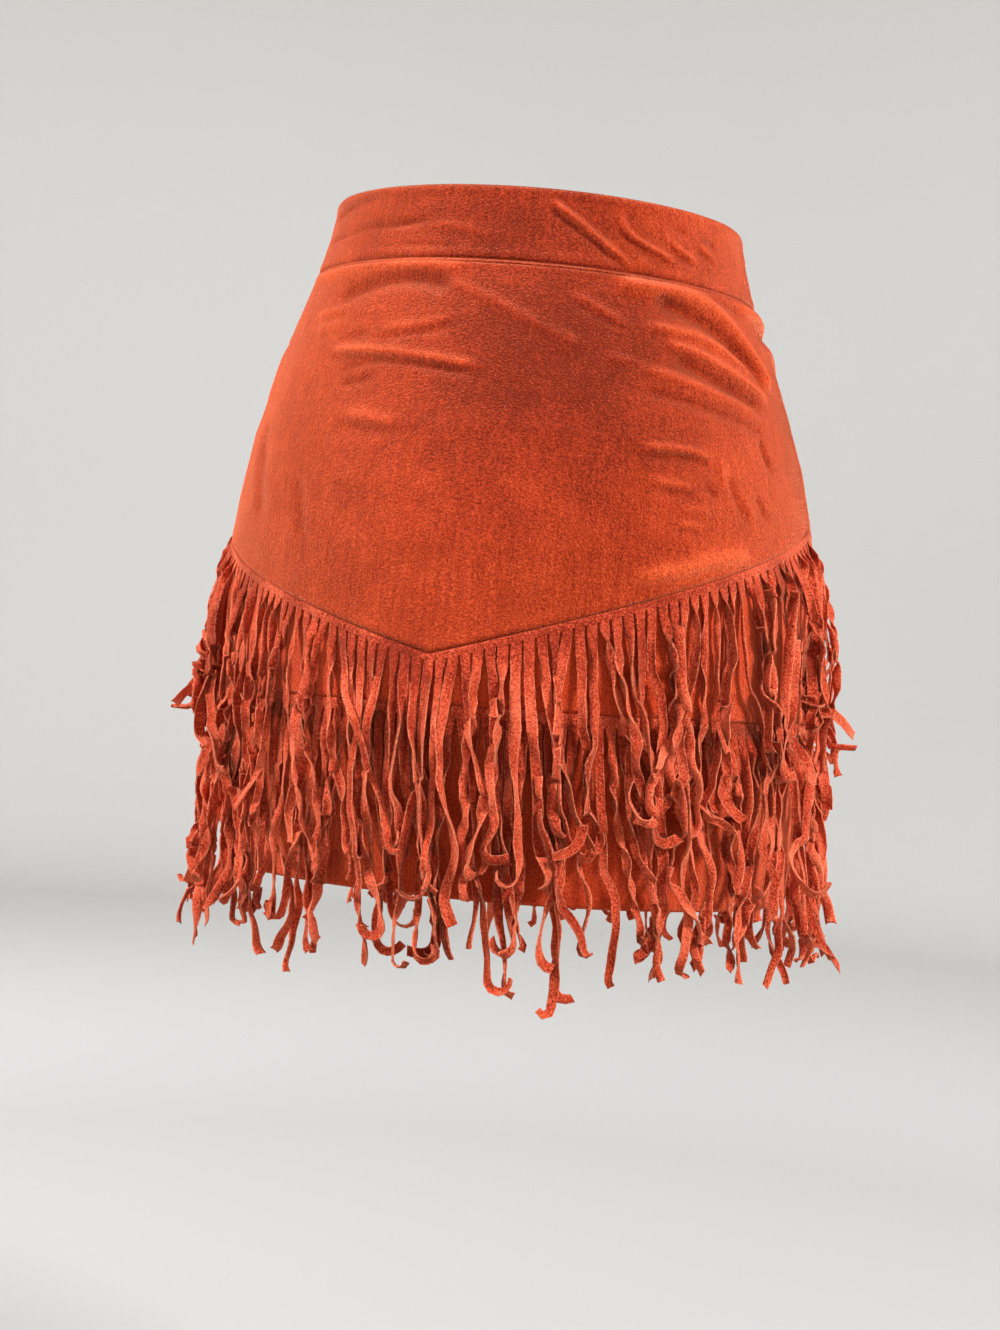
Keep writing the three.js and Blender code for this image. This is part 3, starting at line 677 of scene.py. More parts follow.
@dataclass
class ClothPanel:
    """One cut piece of cloth between two seams, shaped on the worn form."""

    name: str
    half: Half
    top: Edge
    bottom: Edge
    creases: tuple[Crease, ...]
    # Patches of painted shade and painted light on this piece
    shade_patches: tuple[ShadePatch, ...] = ()
    # Strength of the painted highlight on crease ridges and painted shade in troughs
    crease_shading: float = 0.62
    lip: float = 0.0
    lip_at: float = 2.1
    outer: float = 0.0
    outer_below: float | None = None
    step: float = 2.4
    edge_steps: tuple[float, ...] = (0.0, 0.25, 0.55, 0.95, 1.4, 1.75, 2.1, 2.45, 2.9, 3.7, 5.0)
    roll: float = 0.9
    puff: float = 0.25
    ripple: float = 0.35
    fade_top: float = 4.0
    fade_bottom: float = 10.0
    shape: WornShape = field(default_factory=WornShape)

    def track(self, length: float) -> np.ndarray:
        """Distances along a stretch, close together near its two ends.

        Args:
            length: the stretch's length in millimetres.

        Returns:
            Distances that start at 0 and end at length.
        """
        near = np.array(self.edge_steps)
        between = np.linspace(near[-1], length - near[-1], max(2, int(length / self.step)))
        return np.concatenate([near, between[1:-1], (length - near)[::-1]])

    def grid(self) -> tuple[np.ndarray, np.ndarray, np.ndarray, np.ndarray]:
        """Turns and heights of the piece's points, and their distance to its edges.

        Returns:
            Turn, height, distance to the nearer level seam and distance to the
            nearer upright seam, each a grid of rows by columns.
        """
        first, last = self.half.value
        girth = float(self.shape.read(np.array(-110.0), "half_width")) * 0.92 * math.radians(last - first)
        across = self.track(girth)
        turn = first + (last - first) * across / girth
        top, bottom = self.top(turn), self.bottom(turn)
        tallest = float(np.max(top - bottom))
        down = self.track(tallest)
        reach = self.edge_steps[-1]
        count = len(self.edge_steps)
        rows = []
        for index, distance in enumerate(down):
            if index < count:
                rows.append(top - distance)
            elif index >= len(down) - count:
                rows.append(bottom + (tallest - distance))
            else:
                share = (distance - reach) / (tallest - 2 * reach)
                rows.append((top - reach) * (1 - share) + (bottom + reach) * share)
        z = np.array(rows)
        turns = np.broadcast_to(turn, z.shape)
        to_level = np.minimum(top - z, z - bottom)
        to_upright = np.broadcast_to(np.minimum(across, girth - across), z.shape)
        return turns, z, to_level, to_upright

    def seam_form(self, distance: np.ndarray) -> np.ndarray:
        """How far the cloth lies off its form near a seam: rolled in, then puffed."""
        rolled = -self.roll * np.exp(-((distance / 0.75) ** 2))
        return rolled + self.puff * np.exp(-(((distance - 3.2) / 2.2) ** 2))

    def lip_form(self, distance: np.ndarray) -> np.ndarray:
        """Groove along the pressed seam allowance, 0 to 1 by distance below the top seam."""
        return np.exp(-(((distance - self.lip_at) / 0.42) ** 2))

    def ripples(self, points: np.ndarray) -> np.ndarray:
        """Small unevenness of the cloth at points in millimetres."""
        flat = points.reshape(-1, 3)
        values = [noise.fractal(Vector(point) / 34.0, 0.7, 2.0, 3) for point in flat]
        return np.array(values).reshape(points.shape[:-1]) * self.ripple

    def build(self) -> bpy.types.Object:
        """Builds the piece as a thin shell.

        Returns:
            The finished object: an outer face on the form, solidified inwards.
        """
        turn, z, to_level, to_upright = self.grid()
        below = self.outer if self.outer_below is None else self.outer_below
        share = (np.arange(z.shape[0]) / (z.shape[0] - 1))[:, None]
        base = self.outer + (below - self.outer) * share
        fade = smooth_step((self.top(turn) - z) / self.fade_top) * smooth_step((z - self.bottom(turn)) / self.fade_bottom)
        relief = self.shape.relief(turn, z, self.creases) * (0.15 + 0.85 * fade)
        bare = self.shape.place(turn, z, base)
        outward = base + relief + self.ripples(bare)
        outward = outward + self.seam_form(to_level) + 0.6 * self.seam_form(to_upright)
        groove = self.lip_form(self.top(turn) - z) if self.lip else np.zeros_like(z)
        outward = outward - self.lip * groove
        points = self.shape.place(turn, z, outward)
        rows, columns = z.shape
        index = np.arange(rows * columns).reshape(rows, columns)
        quads = np.stack([index[:-1, :-1], index[1:, :-1], index[1:, 1:], index[:-1, 1:]], axis=-1)
        uv = np.stack([np.radians(turn) * MEAN_RADIUS * MM, z * MM], axis=-1)
        # Painted highlight on crease ridges and painted shade, half as strong, in the troughs
        crease_light_and_shade = np.tanh(relief / 1.6)
        shade_and_tone = self.shape.nap_lie(turn, z, self.shade_patches) + self.crease_shading * np.where(crease_light_and_shade > 0, crease_light_and_shade, 0.5 * crease_light_and_shade)
        # Painted shade in the groove under the top seam and along the level seams
        shade_and_tone = shade_and_tone - 0.45 * groove - 0.3 * np.exp(-((to_level / 0.7) ** 2))
        piece = Bench.mesh(self.name, points.reshape(-1, 3), quads.reshape(-1, 4).tolist(), uv.reshape(-1, 2), shade_and_tone)
        wall = piece.modifiers.new("wall", "SOLIDIFY")
        wall.thickness = CLOTH * MM
        wall.offset = -1.0
        Bench.apply(piece)
        Bench.smooth(piece, 50.0)
        return piece


def level(z: float) -> Edge:
    """An edge at one height all round."""
    return lambda turn: np.full_like(turn, z, dtype=float)


@dataclass(frozen=True)
class Cut:
    """The flat cut of a cloth piece, in metres."""

    width: float
    length: float
    area: float


@dataclass
class Body:
    """The cloth of the skirt: waistband, yoke and the panels behind the fringe."""

    shape: WornShape = field(default_factory=WornShape)
    band_cut: Cut = Cut(0.353, 0.041, 0.0138)
    half_band_cut: Cut = Cut(0.177, 0.041, 0.0069)
    yoke_cut: Cut = Cut(0.482, 0.211, 0.0747)
    half_yoke_cut: Cut = Cut(0.241, 0.211, 0.0366)
    middle_cut: Cut = Cut(0.479, 0.112, 0.0330)
    hem_cut: Cut = Cut(0.479, 0.097, 0.0454)

    def panels(self) -> list[tuple[ClothPanel, Cut, SuedeFinish, str]]:
        """Every cloth piece with its cut, its finish and its material slot."""
        vee = self.shape.vee
        half_gap = SEAM_GAP / 2
        rows: list[tuple[ClothPanel, Cut, SuedeFinish, str]] = []
        for half, suffix in ((Half.FRONT, "front"), (Half.BACK_LEFT, "back_left"), (Half.BACK_RIGHT, "back_right")):
            whole = half is Half.FRONT
            band = ClothPanel(
                f"band_{suffix}",
                half,
                level(WAIST_TOP),
                level(WAIST_SEAM + half_gap),
                BAND_CREASES,
                BAND_PAINTED_SHADE,
                step=1.3 if whole else 1.8,
                roll=0.7,
                puff=0.4,
                fade_bottom=3.0,
            )
            yoke = ClothPanel(
                f"yoke_cloth_{suffix}",
                half,
                level(WAIST_SEAM - half_gap),
                vee,
                YOKE_CREASES,
                YOKE_PAINTED_SHADE,
                lip=0.5,
                step=1.55 if whole else 2.0,
            )
            rows.append((band, self.band_cut if whole else self.half_band_cut, BAND_SUEDE, "suede_smooth"))
            rows.append((yoke, self.yoke_cut if whole else self.half_yoke_cut, YOKE_SUEDE, "suede_smooth"))
        for half, suffix in ((Half.FRONT, "front"), (Half.BACK, "back")):
            middle = ClothPanel(
                f"middle_cloth_{suffix}",
                half,
                lambda turn: vee(turn) + 6.0,
                level(TIER_SEAM + half_gap),
                MIDDLE_CREASES,
                outer=BEHIND,
                outer_below=STRIP_OUTER,
                step=3.2,
            )
            hem = ClothPanel(
                f"hem_cloth_{suffix}", half, level(TIER_SEAM - half_gap), level(HEM), UNDER_CREASES, outer=BEHIND, step=3.2
            )
            rows.append((middle, self.middle_cut, UNDER_SUEDE, "suede_under"))
            rows.append((hem, self.hem_cut, UNDER_SUEDE, "suede_under"))
        return rows

    def build(self) -> dict[str, tuple[bpy.types.Object, Cut]]:
        """Builds and dresses every cloth piece.

        Returns:
            The pieces by name, each with its cut.
        """
        made = {}
        finishes: dict[str, bpy.types.Material] = {}
        names = {"band_": "waistband_", "yoke_cloth_": "yoke_", "middle_cloth_": "middle_", "hem_cloth_": "hem_"}
        for panel, cut, finish, slot in self.panels():
            piece = panel.build()
            if finish.name not in finishes:
                finishes[finish.name] = finish.material()
            start = next(key for key in names if panel.name.startswith(key))
            node = names[start] + panel.name[len(start):]
            Bench.hand_over(piece, "skirt", slot, finishes[finish.name], [node])
            made[panel.name] = (piece, cut)
        return made


@dataclass
class Tier:
    """One tier of the fringe: its strip and how its strands hang."""

    name: str
    seam: Edge
    uncut: float
    length: float
    spread: float
    lanes: tuple[float, ...]
    seed: int
    strands: int = 83
    lean: float = 4.3

    def roots(self) -> tuple[np.ndarray, np.ndarray]:
        """Turns of the strands all round, front half then back half, and root heights."""
        turns = []
        for half in (Half.FRONT, Half.BACK):
            first, last = half.value
            turns.append(first + (last - first) * (np.arange(self.strands) + 0.5) / self.strands)
        turn = np.concatenate(turns)
        return turn, self.seam(turn) - SEAM_GAP - self.uncut


@dataclass
class Strands:
    """All strands of both tiers, as chains of points on the unrolled form.

    x runs round the form, z up and o outwards, each an array of strands by points.
    """

    tiers: tuple[Tier, ...]
    points: int = 45
    width: float = 4.8
    embed: float = 1.5

    def draw(self) -> None:
        """Draws every strand's own hang, before they settle on each other."""
        parts = [self.draw_tier(tier) for tier in self.tiers]
        self.x, self.z, self.o, self.twist, self.step, self.least, self.tier = (
            np.concatenate([part[key] for part in parts]) for key in range(7)
        )
        self.breadth = self.breadths()

    def draw_tier(self, tier: Tier) -> tuple[np.ndarray, ...]:
        """Draws the strands of one tier.

        Args:
            tier: the tier.

        Returns:
            x, z, o, twist, step between points, least distance off the form, and
            tier number, each with a row for a strand.
        """
        rng = np.random.default_rng(tier.seed)
        turn, root_z = tier.roots()
        count = len(turn)
        wrapped = (turn + 180.0) % 360.0 - 180.0
        x0 = np.radians(wrapped) * MEAN_RADIUS
        length = tier.length + tier.spread * rng.normal(0, 0.62, count).clip(-1.5, 1.9)
        s = np.linspace(0, 1, self.points)[None, :] * length[:, None]
        share = s / length[:, None]

        def drift(period: float, size: float) -> np.ndarray:
            """Lean shared by neighbours, so that they gather and part."""
            return size * np.sin(2 * math.pi * x0 / period + rng.uniform(0, 2 * math.pi))

        gather = drift(31, 5.0) + drift(53, 4.4) + drift(103, 3.0)
        mess = 0.55 + 1.4 * np.sin(np.radians(wrapped)) ** 2
        lean = tier.lean + gather * 0.9 + rng.normal(0, 2.4, count)
        angle = np.broadcast_to(lean[:, None], s.shape) * (0.5 + 0.5 * smooth_step(share * 1.6))
        splay = rng.standard_t(3, (count, 1)).clip(-4.5, 4.5) * 5.5 * mess[:, None]
        angle = angle + splay * smooth_step(s / 5.0) * np.exp(-s / 30.0)
        for period, size in ((66, 6.0), (37, 6.0), (21, 6.5)):
            phase = rng.uniform(0, 2 * math.pi, (count, 1))
            own = rng.gamma(2.2, 0.45, (count, 1)) * size * mess[:, None]
            grow = smooth_step(s / 45.0) * (0.3 + 1.1 * share**2)
            angle = angle + own * grow * np.sin(2 * math.pi * s / (period * rng.uniform(0.8, 1.25, (count, 1))) + phase)
        for first in (0.22, 0.42, 0.60, 0.76):
            spot = length[:, None] * (first + rng.uniform(0, 0.2, (count, 1)))
            turned = rng.normal(0, 24, (count, 1)) * mess[:, None] * (0.5 + first)
            past = np.maximum(s - spot, 0.0)
            angle = angle + turned * smooth_step(past / 5.0) * np.exp(-past / rng.uniform(9, 22, (count, 1)))
        kind = rng.uniform(0, 1, count)
        hook = np.where(kind < 0.36, rng.normal(0, 22, count), 0.0)
        hook = np.where((kind >= 0.36) & (kind < 0.74), rng.uniform(40, 95, count), hook)
        hook = np.where(kind >= 0.74, rng.uniform(110, 210, count), hook)
        hook = hook * rng.choice((-1.0, 1.0), count, p=(0.4, 0.6))
        hook_length = rng.uniform(7, 17, count) * (1.0 + 0.5 * (kind >= 0.74))
        bend = smooth_step((s - (length - hook_length)[:, None]) / hook_length[:, None])
        angle = angle + hook[:, None] * bend
        step = length / (self.points - 1)
        x = x0[:, None] + np.cumsum(np.sin(np.radians(angle)) * step[:, None], axis=1)
        z = root_z[:, None] - np.cumsum(np.cos(np.radians(angle)) * step[:, None], axis=1)
        x = np.concatenate([x0[:, None], x[:, :-1]], axis=1)
        z = np.concatenate([root_z[:, None], z[:, :-1]], axis=1)
        lane = np.array(tier.lanes)[rng.integers(0, len(tier.lanes), count)]
        lane = lane + rng.uniform(0, 8.0, count) * np.sin(np.radians(wrapped)) ** 4
        o = -0.7 + (lane[:, None] + 0.7) * smooth_step(s / 40.0)
        for period, size in ((58, 1.8), (30, 1.3), (17, 0.8)):
            phase = rng.uniform(0, 2 * math.pi, (count, 1))
            own = rng.gamma(2.0, 0.5, (count, 1)) * size * mess[:, None]
            o = o + own * smooth_step(s / 40.0) * np.sin(2 * math.pi * s / period + phase)
        lift = np.where(rng.uniform(0, 1, count) < 0.3, rng.uniform(3, 12, count), rng.uniform(-1, 2, count)) * mess
        o = o + lift[:, None] * smooth_step((share - 0.72) / 0.28)
        full = rng.normal(0, 150, (count, 1))
        sway = rng.normal(0, 40, (count, 1)) * np.sin(2 * math.pi * s / rng.uniform(24, 58, (count, 1)))
        early = rng.normal(0, 42, (count, 1)) * mess[:, None] ** 1.5 * smooth_step((s - 1.0) / 16.0)
        twist = np.radians(full * (s / length[:, None]) ** 1.3 + sway * smooth_step(s / 24.0) + early)
        over = 3.4 if tier is self.tiers[0] else 0.0
        least = np.where(z < TIER_SEAM - 8.0, over, 0.0) * smooth_step(s / 20.0)
        return x, z, o, twist, step, least, np.full(count, self.tiers.index(tier))

    def breadths(self) -> np.ndarray:
        """Width of each strand at each point: full at the root, then rolled in."""
        rng = np.random.default_rng(19)
        count, points = self.x.shape
        s = np.arange(points)[None, :] * self.step[:, None]
        own = rng.normal(1.0, 0.15, (count, 1)).clip(0.68, 1.3)
        wave = 1.0 + 0.06 * np.sin(2 * math.pi * s / rng.uniform(18, 46, (count, 1)) + rng.uniform(0, 6.3, (count, 1)))
        narrow = self.width * own * wave
        root = 5.1
        return root + (narrow - root) * smooth_step(s / 9.0)

    def settle(self, rounds: int = 36) -> None:
        """Pushes strands that cross apart, outwards and inwards, in turn with their length.

        Args:
            rounds: how often every strand is moved.
        """
        count, points = self.x.shape
        strand = np.repeat(np.arange(count), points).reshape(count, points)
        half_across = np.hypot(self.breadth / 2 * np.cos(self.twist), STRAND_CLOTH / 2) + 0.1
        half_out = np.hypot(self.breadth / 2 * np.sin(self.twist), STRAND_CLOTH / 2) * 0.85 + 0.2
        free = smooth_step(np.arange(points)[None, :] * self.step[:, None] / 12.0)
        bin_height = 4.0
        for turn_number in range(rounds):
            push = np.zeros_like(self.o)
            hits = np.zeros_like(self.o)
            self.cover = np.zeros_like(self.o)
            low = math.floor(self.z.min() / bin_height)
            high = math.ceil(self.z.max() / bin_height)
            rank = np.floor(self.z / bin_height).astype(int)
            for row in range(low, high + 1):
                pick = np.nonzero((rank == row) | (rank == row + 1))
                if len(pick[0]) < 2:
                    continue
                order = np.argsort(self.x[pick])
                pick = (pick[0][order], pick[1][order])
                self.push_row(pick, strand, half_across, half_out, push, hits)
            self.o += free * push / np.maximum(hits, 1.0) * 0.8
            inner = STRIP_OUTER + 0.15 + half_out + self.least
            self.o = np.where(free > 0.5, np.maximum(self.o, inner * free + self.o * (1 - free)), self.o)
            if turn_number < rounds - 6:
                middle = 0.5 * self.o[:, 1:-1] + 0.25 * (self.o[:, :-2] + self.o[:, 2:])
                self.o[:, 1:-1] = middle
            self.keep_length()

    def push_row(
        self,
        pick: tuple[np.ndarray, np.ndarray],
        strand: np.ndarray,
        half_across: np.ndarray,
        half_out: np.ndarray,
        push: np.ndarray,
        hits: np.ndarray,
    ) -> None:
        """Adds the outward pushes between the points of one level band.

        Args:
            pick: indices of the band's points, in order of x.
            strand: strand number of each point.
            half_across: half breadth of each point round the form.
            half_out: half breadth of each point outwards.
            push: pushes so far, changed in place.
            hits: number of touching points so far, changed in place.
        """
        x, z, o = self.x[pick], self.z[pick], self.o[pick]
        for ahead in range(1, 15):
            if ahead >= len(x):
                break
            gap_x = x[ahead:] - x[:-ahead]
            reach_x = half_across[pick][ahead:] + half_across[pick][:-ahead]
            reach_o = half_out[pick][ahead:] + half_out[pick][:-ahead]
            gap_z = (z[ahead:] - z[:-ahead]) / 3.4
            inside = 1.0 - (gap_x / reach_x) ** 2 - gap_z**2
            gap_o = o[ahead:] - o[:-ahead]
            needed = reach_o * np.sqrt(np.maximum(inside, 0.0))
            other = strand[pick][ahead:] != strand[pick][:-ahead]
            near = (inside > 0.15) & other
            # Counts the points that lie under another strand, for the painted shadow on them
            np.add.at(self.cover, (pick[0][ahead:], pick[1][ahead:]), (near & (gap_o < 0)).astype(float))
            np.add.at(self.cover, (pick[0][:-ahead], pick[1][:-ahead]), (near & (gap_o > 0)).astype(float))
            short = needed - np.abs(gap_o)
            touch = (inside > 0) & (short > 0) & other
            if not touch.any():
                continue
            sign = np.where(np.abs(gap_o) > 1e-6, np.sign(gap_o), 1.0)
            move = np.where(touch, sign * short * 0.5, 0.0)
            later = (pick[0][ahead:], pick[1][ahead:])
            earlier = (pick[0][:-ahead], pick[1][:-ahead])
            np.add.at(push, later, move)
            np.add.at(push, earlier, -move)
            np.add.at(hits, later, touch.astype(float))
            np.add.at(hits, earlier, touch.astype(float))

    def keep_length(self) -> None:
        """Brings every strand back to its length, from its root down."""
        for point in range(1, self.x.shape[1]):
            dx = self.x[:, point] - self.x[:, point - 1]
            dz = self.z[:, point] - self.z[:, point - 1]
            do = self.o[:, point] - self.o[:, point - 1]
            size = np.maximum(np.sqrt(dx**2 + dz**2 + do**2), 1e-6)
            scale = self.step / size
            shift_x = self.x[:, point - 1] + dx * scale - self.x[:, point]
            shift_z = self.z[:, point - 1] + dz * scale - self.z[:, point]
            self.x[:, point:] += shift_x[:, None]
            self.z[:, point:] += shift_z[:, None]


@dataclass
class Fringe:
    """The two tiers of cut strips, their strands dressed and laid over each other."""

    shape: WornShape = field(default_factory=WornShape)
    profile: tuple[tuple[float, float], ...] = (
        (-0.92, 0.72),
        (-0.5, 1.0),
        (0.5, 1.0),
        (0.92, 0.72),
        (1.0, 0.0),
        (0.92, -0.72),
        (0.5, -1.0),
        (-0.5, -1.0),
        (-0.92, -0.72),
        (-1.0, 0.0),
    )

    def tiers(self) -> tuple[Tier, Tier]:
        """The upper and the lower tier."""
        upper = Tier("upper", self.shape.vee, 4.5, 122.0, 14.0, (1.5, 3.5, 6.0), 41)
        lower = Tier("lower", level(TIER_SEAM), 6.5, 128.0, 15.0, (0.8, 2.6, 4.6), 87)
        return upper, lower

    def centres(self, strands: Strands) -> np.ndarray:
        """Centre points of every strand in space, with one more inside the strip."""
        x = np.concatenate([strands.x[:, :1], strands.x], axis=1)
        z = np.concatenate([strands.z[:, :1] + strands.embed, strands.z], axis=1)
        o = np.concatenate([strands.o[:, :1], strands.o], axis=1)
        return self.shape.place(np.degrees(x / MEAN_RADIUS), z, o, plumb=True)

    def carried_frames(self, centres: np.ndarray, turn: np.ndarray) -> tuple[np.ndarray, np.ndarray, np.ndarray]:
        """Directions along, across and out of every strand, carried down without spin.

        Args:
            centres: strands by points by XYZ.
            turn: root turns in degrees.

        Returns:
            Unit vectors along, across and out, the same shape as centres.
        """
        along = np.gradient(centres, axis=1)
        along /= np.linalg.norm(along, axis=-1, keepdims=True)
        ahead = self.shape.place(turn + 0.5, np.full_like(turn, -200.0), np.zeros_like(turn))
        here = self.shape.place(turn - 0.5, np.full_like(turn, -200.0), np.zeros_like(turn))
        across = np.empty_like(centres)
        current = ahead - here
        for point in range(centres.shape[1]):
            tangent = along[:, point]
            current = current - tangent * np.sum(current * tangent, axis=1, keepdims=True)
            current = current / np.linalg.norm(current, axis=1, keepdims=True)
            across[:, point] = current
        return along, across, np.cross(across, -along)

    def strand_mesh(self, name: str, strands: Strands, rows: np.ndarray, turn: np.ndarray) -> bpy.types.Object:
        """Builds the strands of one strip as one mesh.

        Args:
            name: the piece's name.
            strands: all strands, settled.
            rows: numbers of the strands that belong to this strip.
            turn: root turns of those strands.

        Returns:
            The new object.
        """
        rng = np.random.default_rng(int(rows[0]) + 5)
        centres = self.centres(strands)[rows]
        along, across, out = self.carried_frames(centres, turn)
        twist = np.concatenate([np.zeros((len(rows), 1)), strands.twist[rows]], axis=1)[..., None]
        side = across * np.cos(twist) + out * np.sin(twist)
        face = -across * np.sin(twist) + out * np.cos(twist)
        breadth = np.concatenate([strands.breadth[rows][:, :1], strands.breadth[rows]], axis=1)
        count, points = breadth.shape
        s = np.maximum(0, np.arange(points) - 1)[None, :] * strands.step[rows][:, None]
        thick = np.full_like(breadth, STRAND_CLOTH / 2)
        thick[:, 0] *= 0.7
        thick[:, -1] *= 0.75
        cup = rng.choice((-1.0, 1.0), (count, 1), p=(0.65, 0.35)) * rng.uniform(0.2, 0.7, (count, 1))
        cup = cup * smooth_step((s - 3.0) / 16.0)
        slant = rng.normal(0, 0.5, (count, 1))
        profile = np.array(self.profile)
        width_share, thick_share = profile[:, 0], profile[:, 1]
        half = breadth[..., None] / 2 * width_share
        ragged = rng.normal(0, 0.09, half.shape) * (np.abs(width_share) > 0.9)
        ragged[:, :3] = 0
        half = half + ragged * np.sign(width_share)
        curled = cup[..., None] * breadth[..., None] / 2 * (width_share**2 - 0.4)
        lift = thick[..., None] * thick_share + curled
        points_3d = centres[:, :, None] + side[:, :, None] * half[..., None] + face[:, :, None] * lift[..., None]
        points_3d[:, -1] += along[:, -1][:, None] * (slant * width_share)[..., None]
        ring = len(profile)
        index = np.arange(count * points * ring).reshape(count, points, ring)
        nxt = np.roll(index, -1, axis=2)
        quads = np.stack([index[:, :-1], nxt[:, :-1], nxt[:, 1:], index[:, 1:]], axis=-1).reshape(-1, 4)
        faces = quads.tolist() + index[:, -1].tolist() + index[:, 0, ::-1].tolist()
        uv = np.stack(np.broadcast_arrays(np.abs(width_share), s[..., None] * MM), axis=-1)
        own = rng.normal(0, 0.2, (count, 1)) + 0.16 * np.sin(s / rng.uniform(9, 20, (count, 1)) + slant * 9)
        # Painted shade near the root, under the strip; the random tone fades in below it
        own = own * smooth_step(s / 12.0) - 0.3 * (1 - smooth_step(s / 30.0))
        # Painted shadow on strands that lie under others, darker the more points cover them
        cover = np.concatenate([strands.cover[rows][:, :1], strands.cover[rows]], axis=1)
        cover[:, 1:-1] = 0.5 * cover[:, 1:-1] + 0.25 * (cover[:, :-2] + cover[:, 2:])
        own = own - 0.75 * np.tanh(cover / 5.0)
        # Painted shade on the strands at the centre front and back, fading down their length
        own = own - 0.25 * np.cos(np.radians(turn))[:, None] ** 6 * (1 - smooth_step(s / 110.0))
        # Painted shade on the inner face of every strand
        own = np.where(thick_share < -0.1, -0.12, 0.0) + own[..., None]
        piece = Bench.mesh(name, points_3d.reshape(-1, 3), faces, uv.reshape(-1, 2), own)
        Bench.smooth(piece, 60.0)
        return piece

    def strip_mesh(self, name: str, tier: Tier, half: Half) -> bpy.types.Object:
        """Builds the uncut strip that carries a tier's strands on one half."""
        first, last = half.value
        columns = tier.strands * 4
        turn = np.linspace(first, last, columns + 1)
        slit = np.arange(columns + 1) % 4 == 0
        top = tier.seam(turn) - SEAM_GAP
        shares = np.array([0.0, 0.1, 0.25, 0.5, 0.75, 1.0])
        z = top[None, :] - tier.uncut * shares[:, None]
        z[-1] += np.where(slit, 0.5, 0.0)
        dip = np.where(shares == 0.0, -0.55, 0.0)[:, None] + 0.18 * np.sin(math.pi * shares)[:, None]
        outward = STRIP_OUTER + dip + np.where(slit, -0.12, 0.0)[None, :] * shares[:, None]
        points = self.shape.place(np.broadcast_to(turn, z.shape), z, outward)
        rows, width = z.shape
        index = np.arange(rows * width).reshape(rows, width)
        quads = np.stack([index[:-1, :-1], index[1:, :-1], index[1:, 1:], index[:-1, 1:]], axis=-1)
        uv = np.zeros((rows, width, 2))
        uv[..., 1] = z * MM
        # Painted shade: the uncut strip is darker all over, like the strand roots below it
        shade_and_tone = np.full(z.shape, -0.3)
        piece = Bench.mesh(name, points.reshape(-1, 3), quads.reshape(-1, 4).tolist(), uv.reshape(-1, 2), shade_and_tone)
        wall = piece.modifiers.new("wall", "SOLIDIFY")
        wall.thickness = STRAND_CLOTH * MM
        wall.offset = -1.0
        Bench.apply(piece)
        Bench.smooth(piece, 50.0)
        return piece

    def build(self) -> dict[str, bpy.types.Object]:
        """Builds, joins and dresses the fringe of each tier and half.

        Returns:
            The pieces by the name of the node that they stand for.
        """
        tiers = self.tiers()
        strands = Strands(tiers)
        strands.draw()
        strands.settle()
        log.info("strands: %d, furthest out %.1f mm, lowest %.1f mm", len(strands.x), strands.o.max(), strands.z.min())
        material = STRAND_SUEDE.material()
        made = {}
        for number, tier in enumerate(tiers):
            turns, _ = tier.roots()
            for half, suffix, start in ((Half.FRONT, "front", 0), (Half.BACK, "back", tier.strands)):
                rows = np.nonzero(strands.tier == number)[0][start:start + tier.strands]
                name = f"strands_{tier.name}_{suffix}"
                piece = self.strand_mesh(name, strands, rows, turns[start:start + tier.strands])
                strip = self.strip_mesh(f"{name}_strip", tier, half)
                Bench.pick(piece)
                strip.select_set(True)
                bpy.ops.object.join()
                node = f"fringe_{tier.name}_{suffix}"
                Bench.hand_over(piece, "skirt", "suede_fringe", material, [node])
                made[node] = piece
        return made


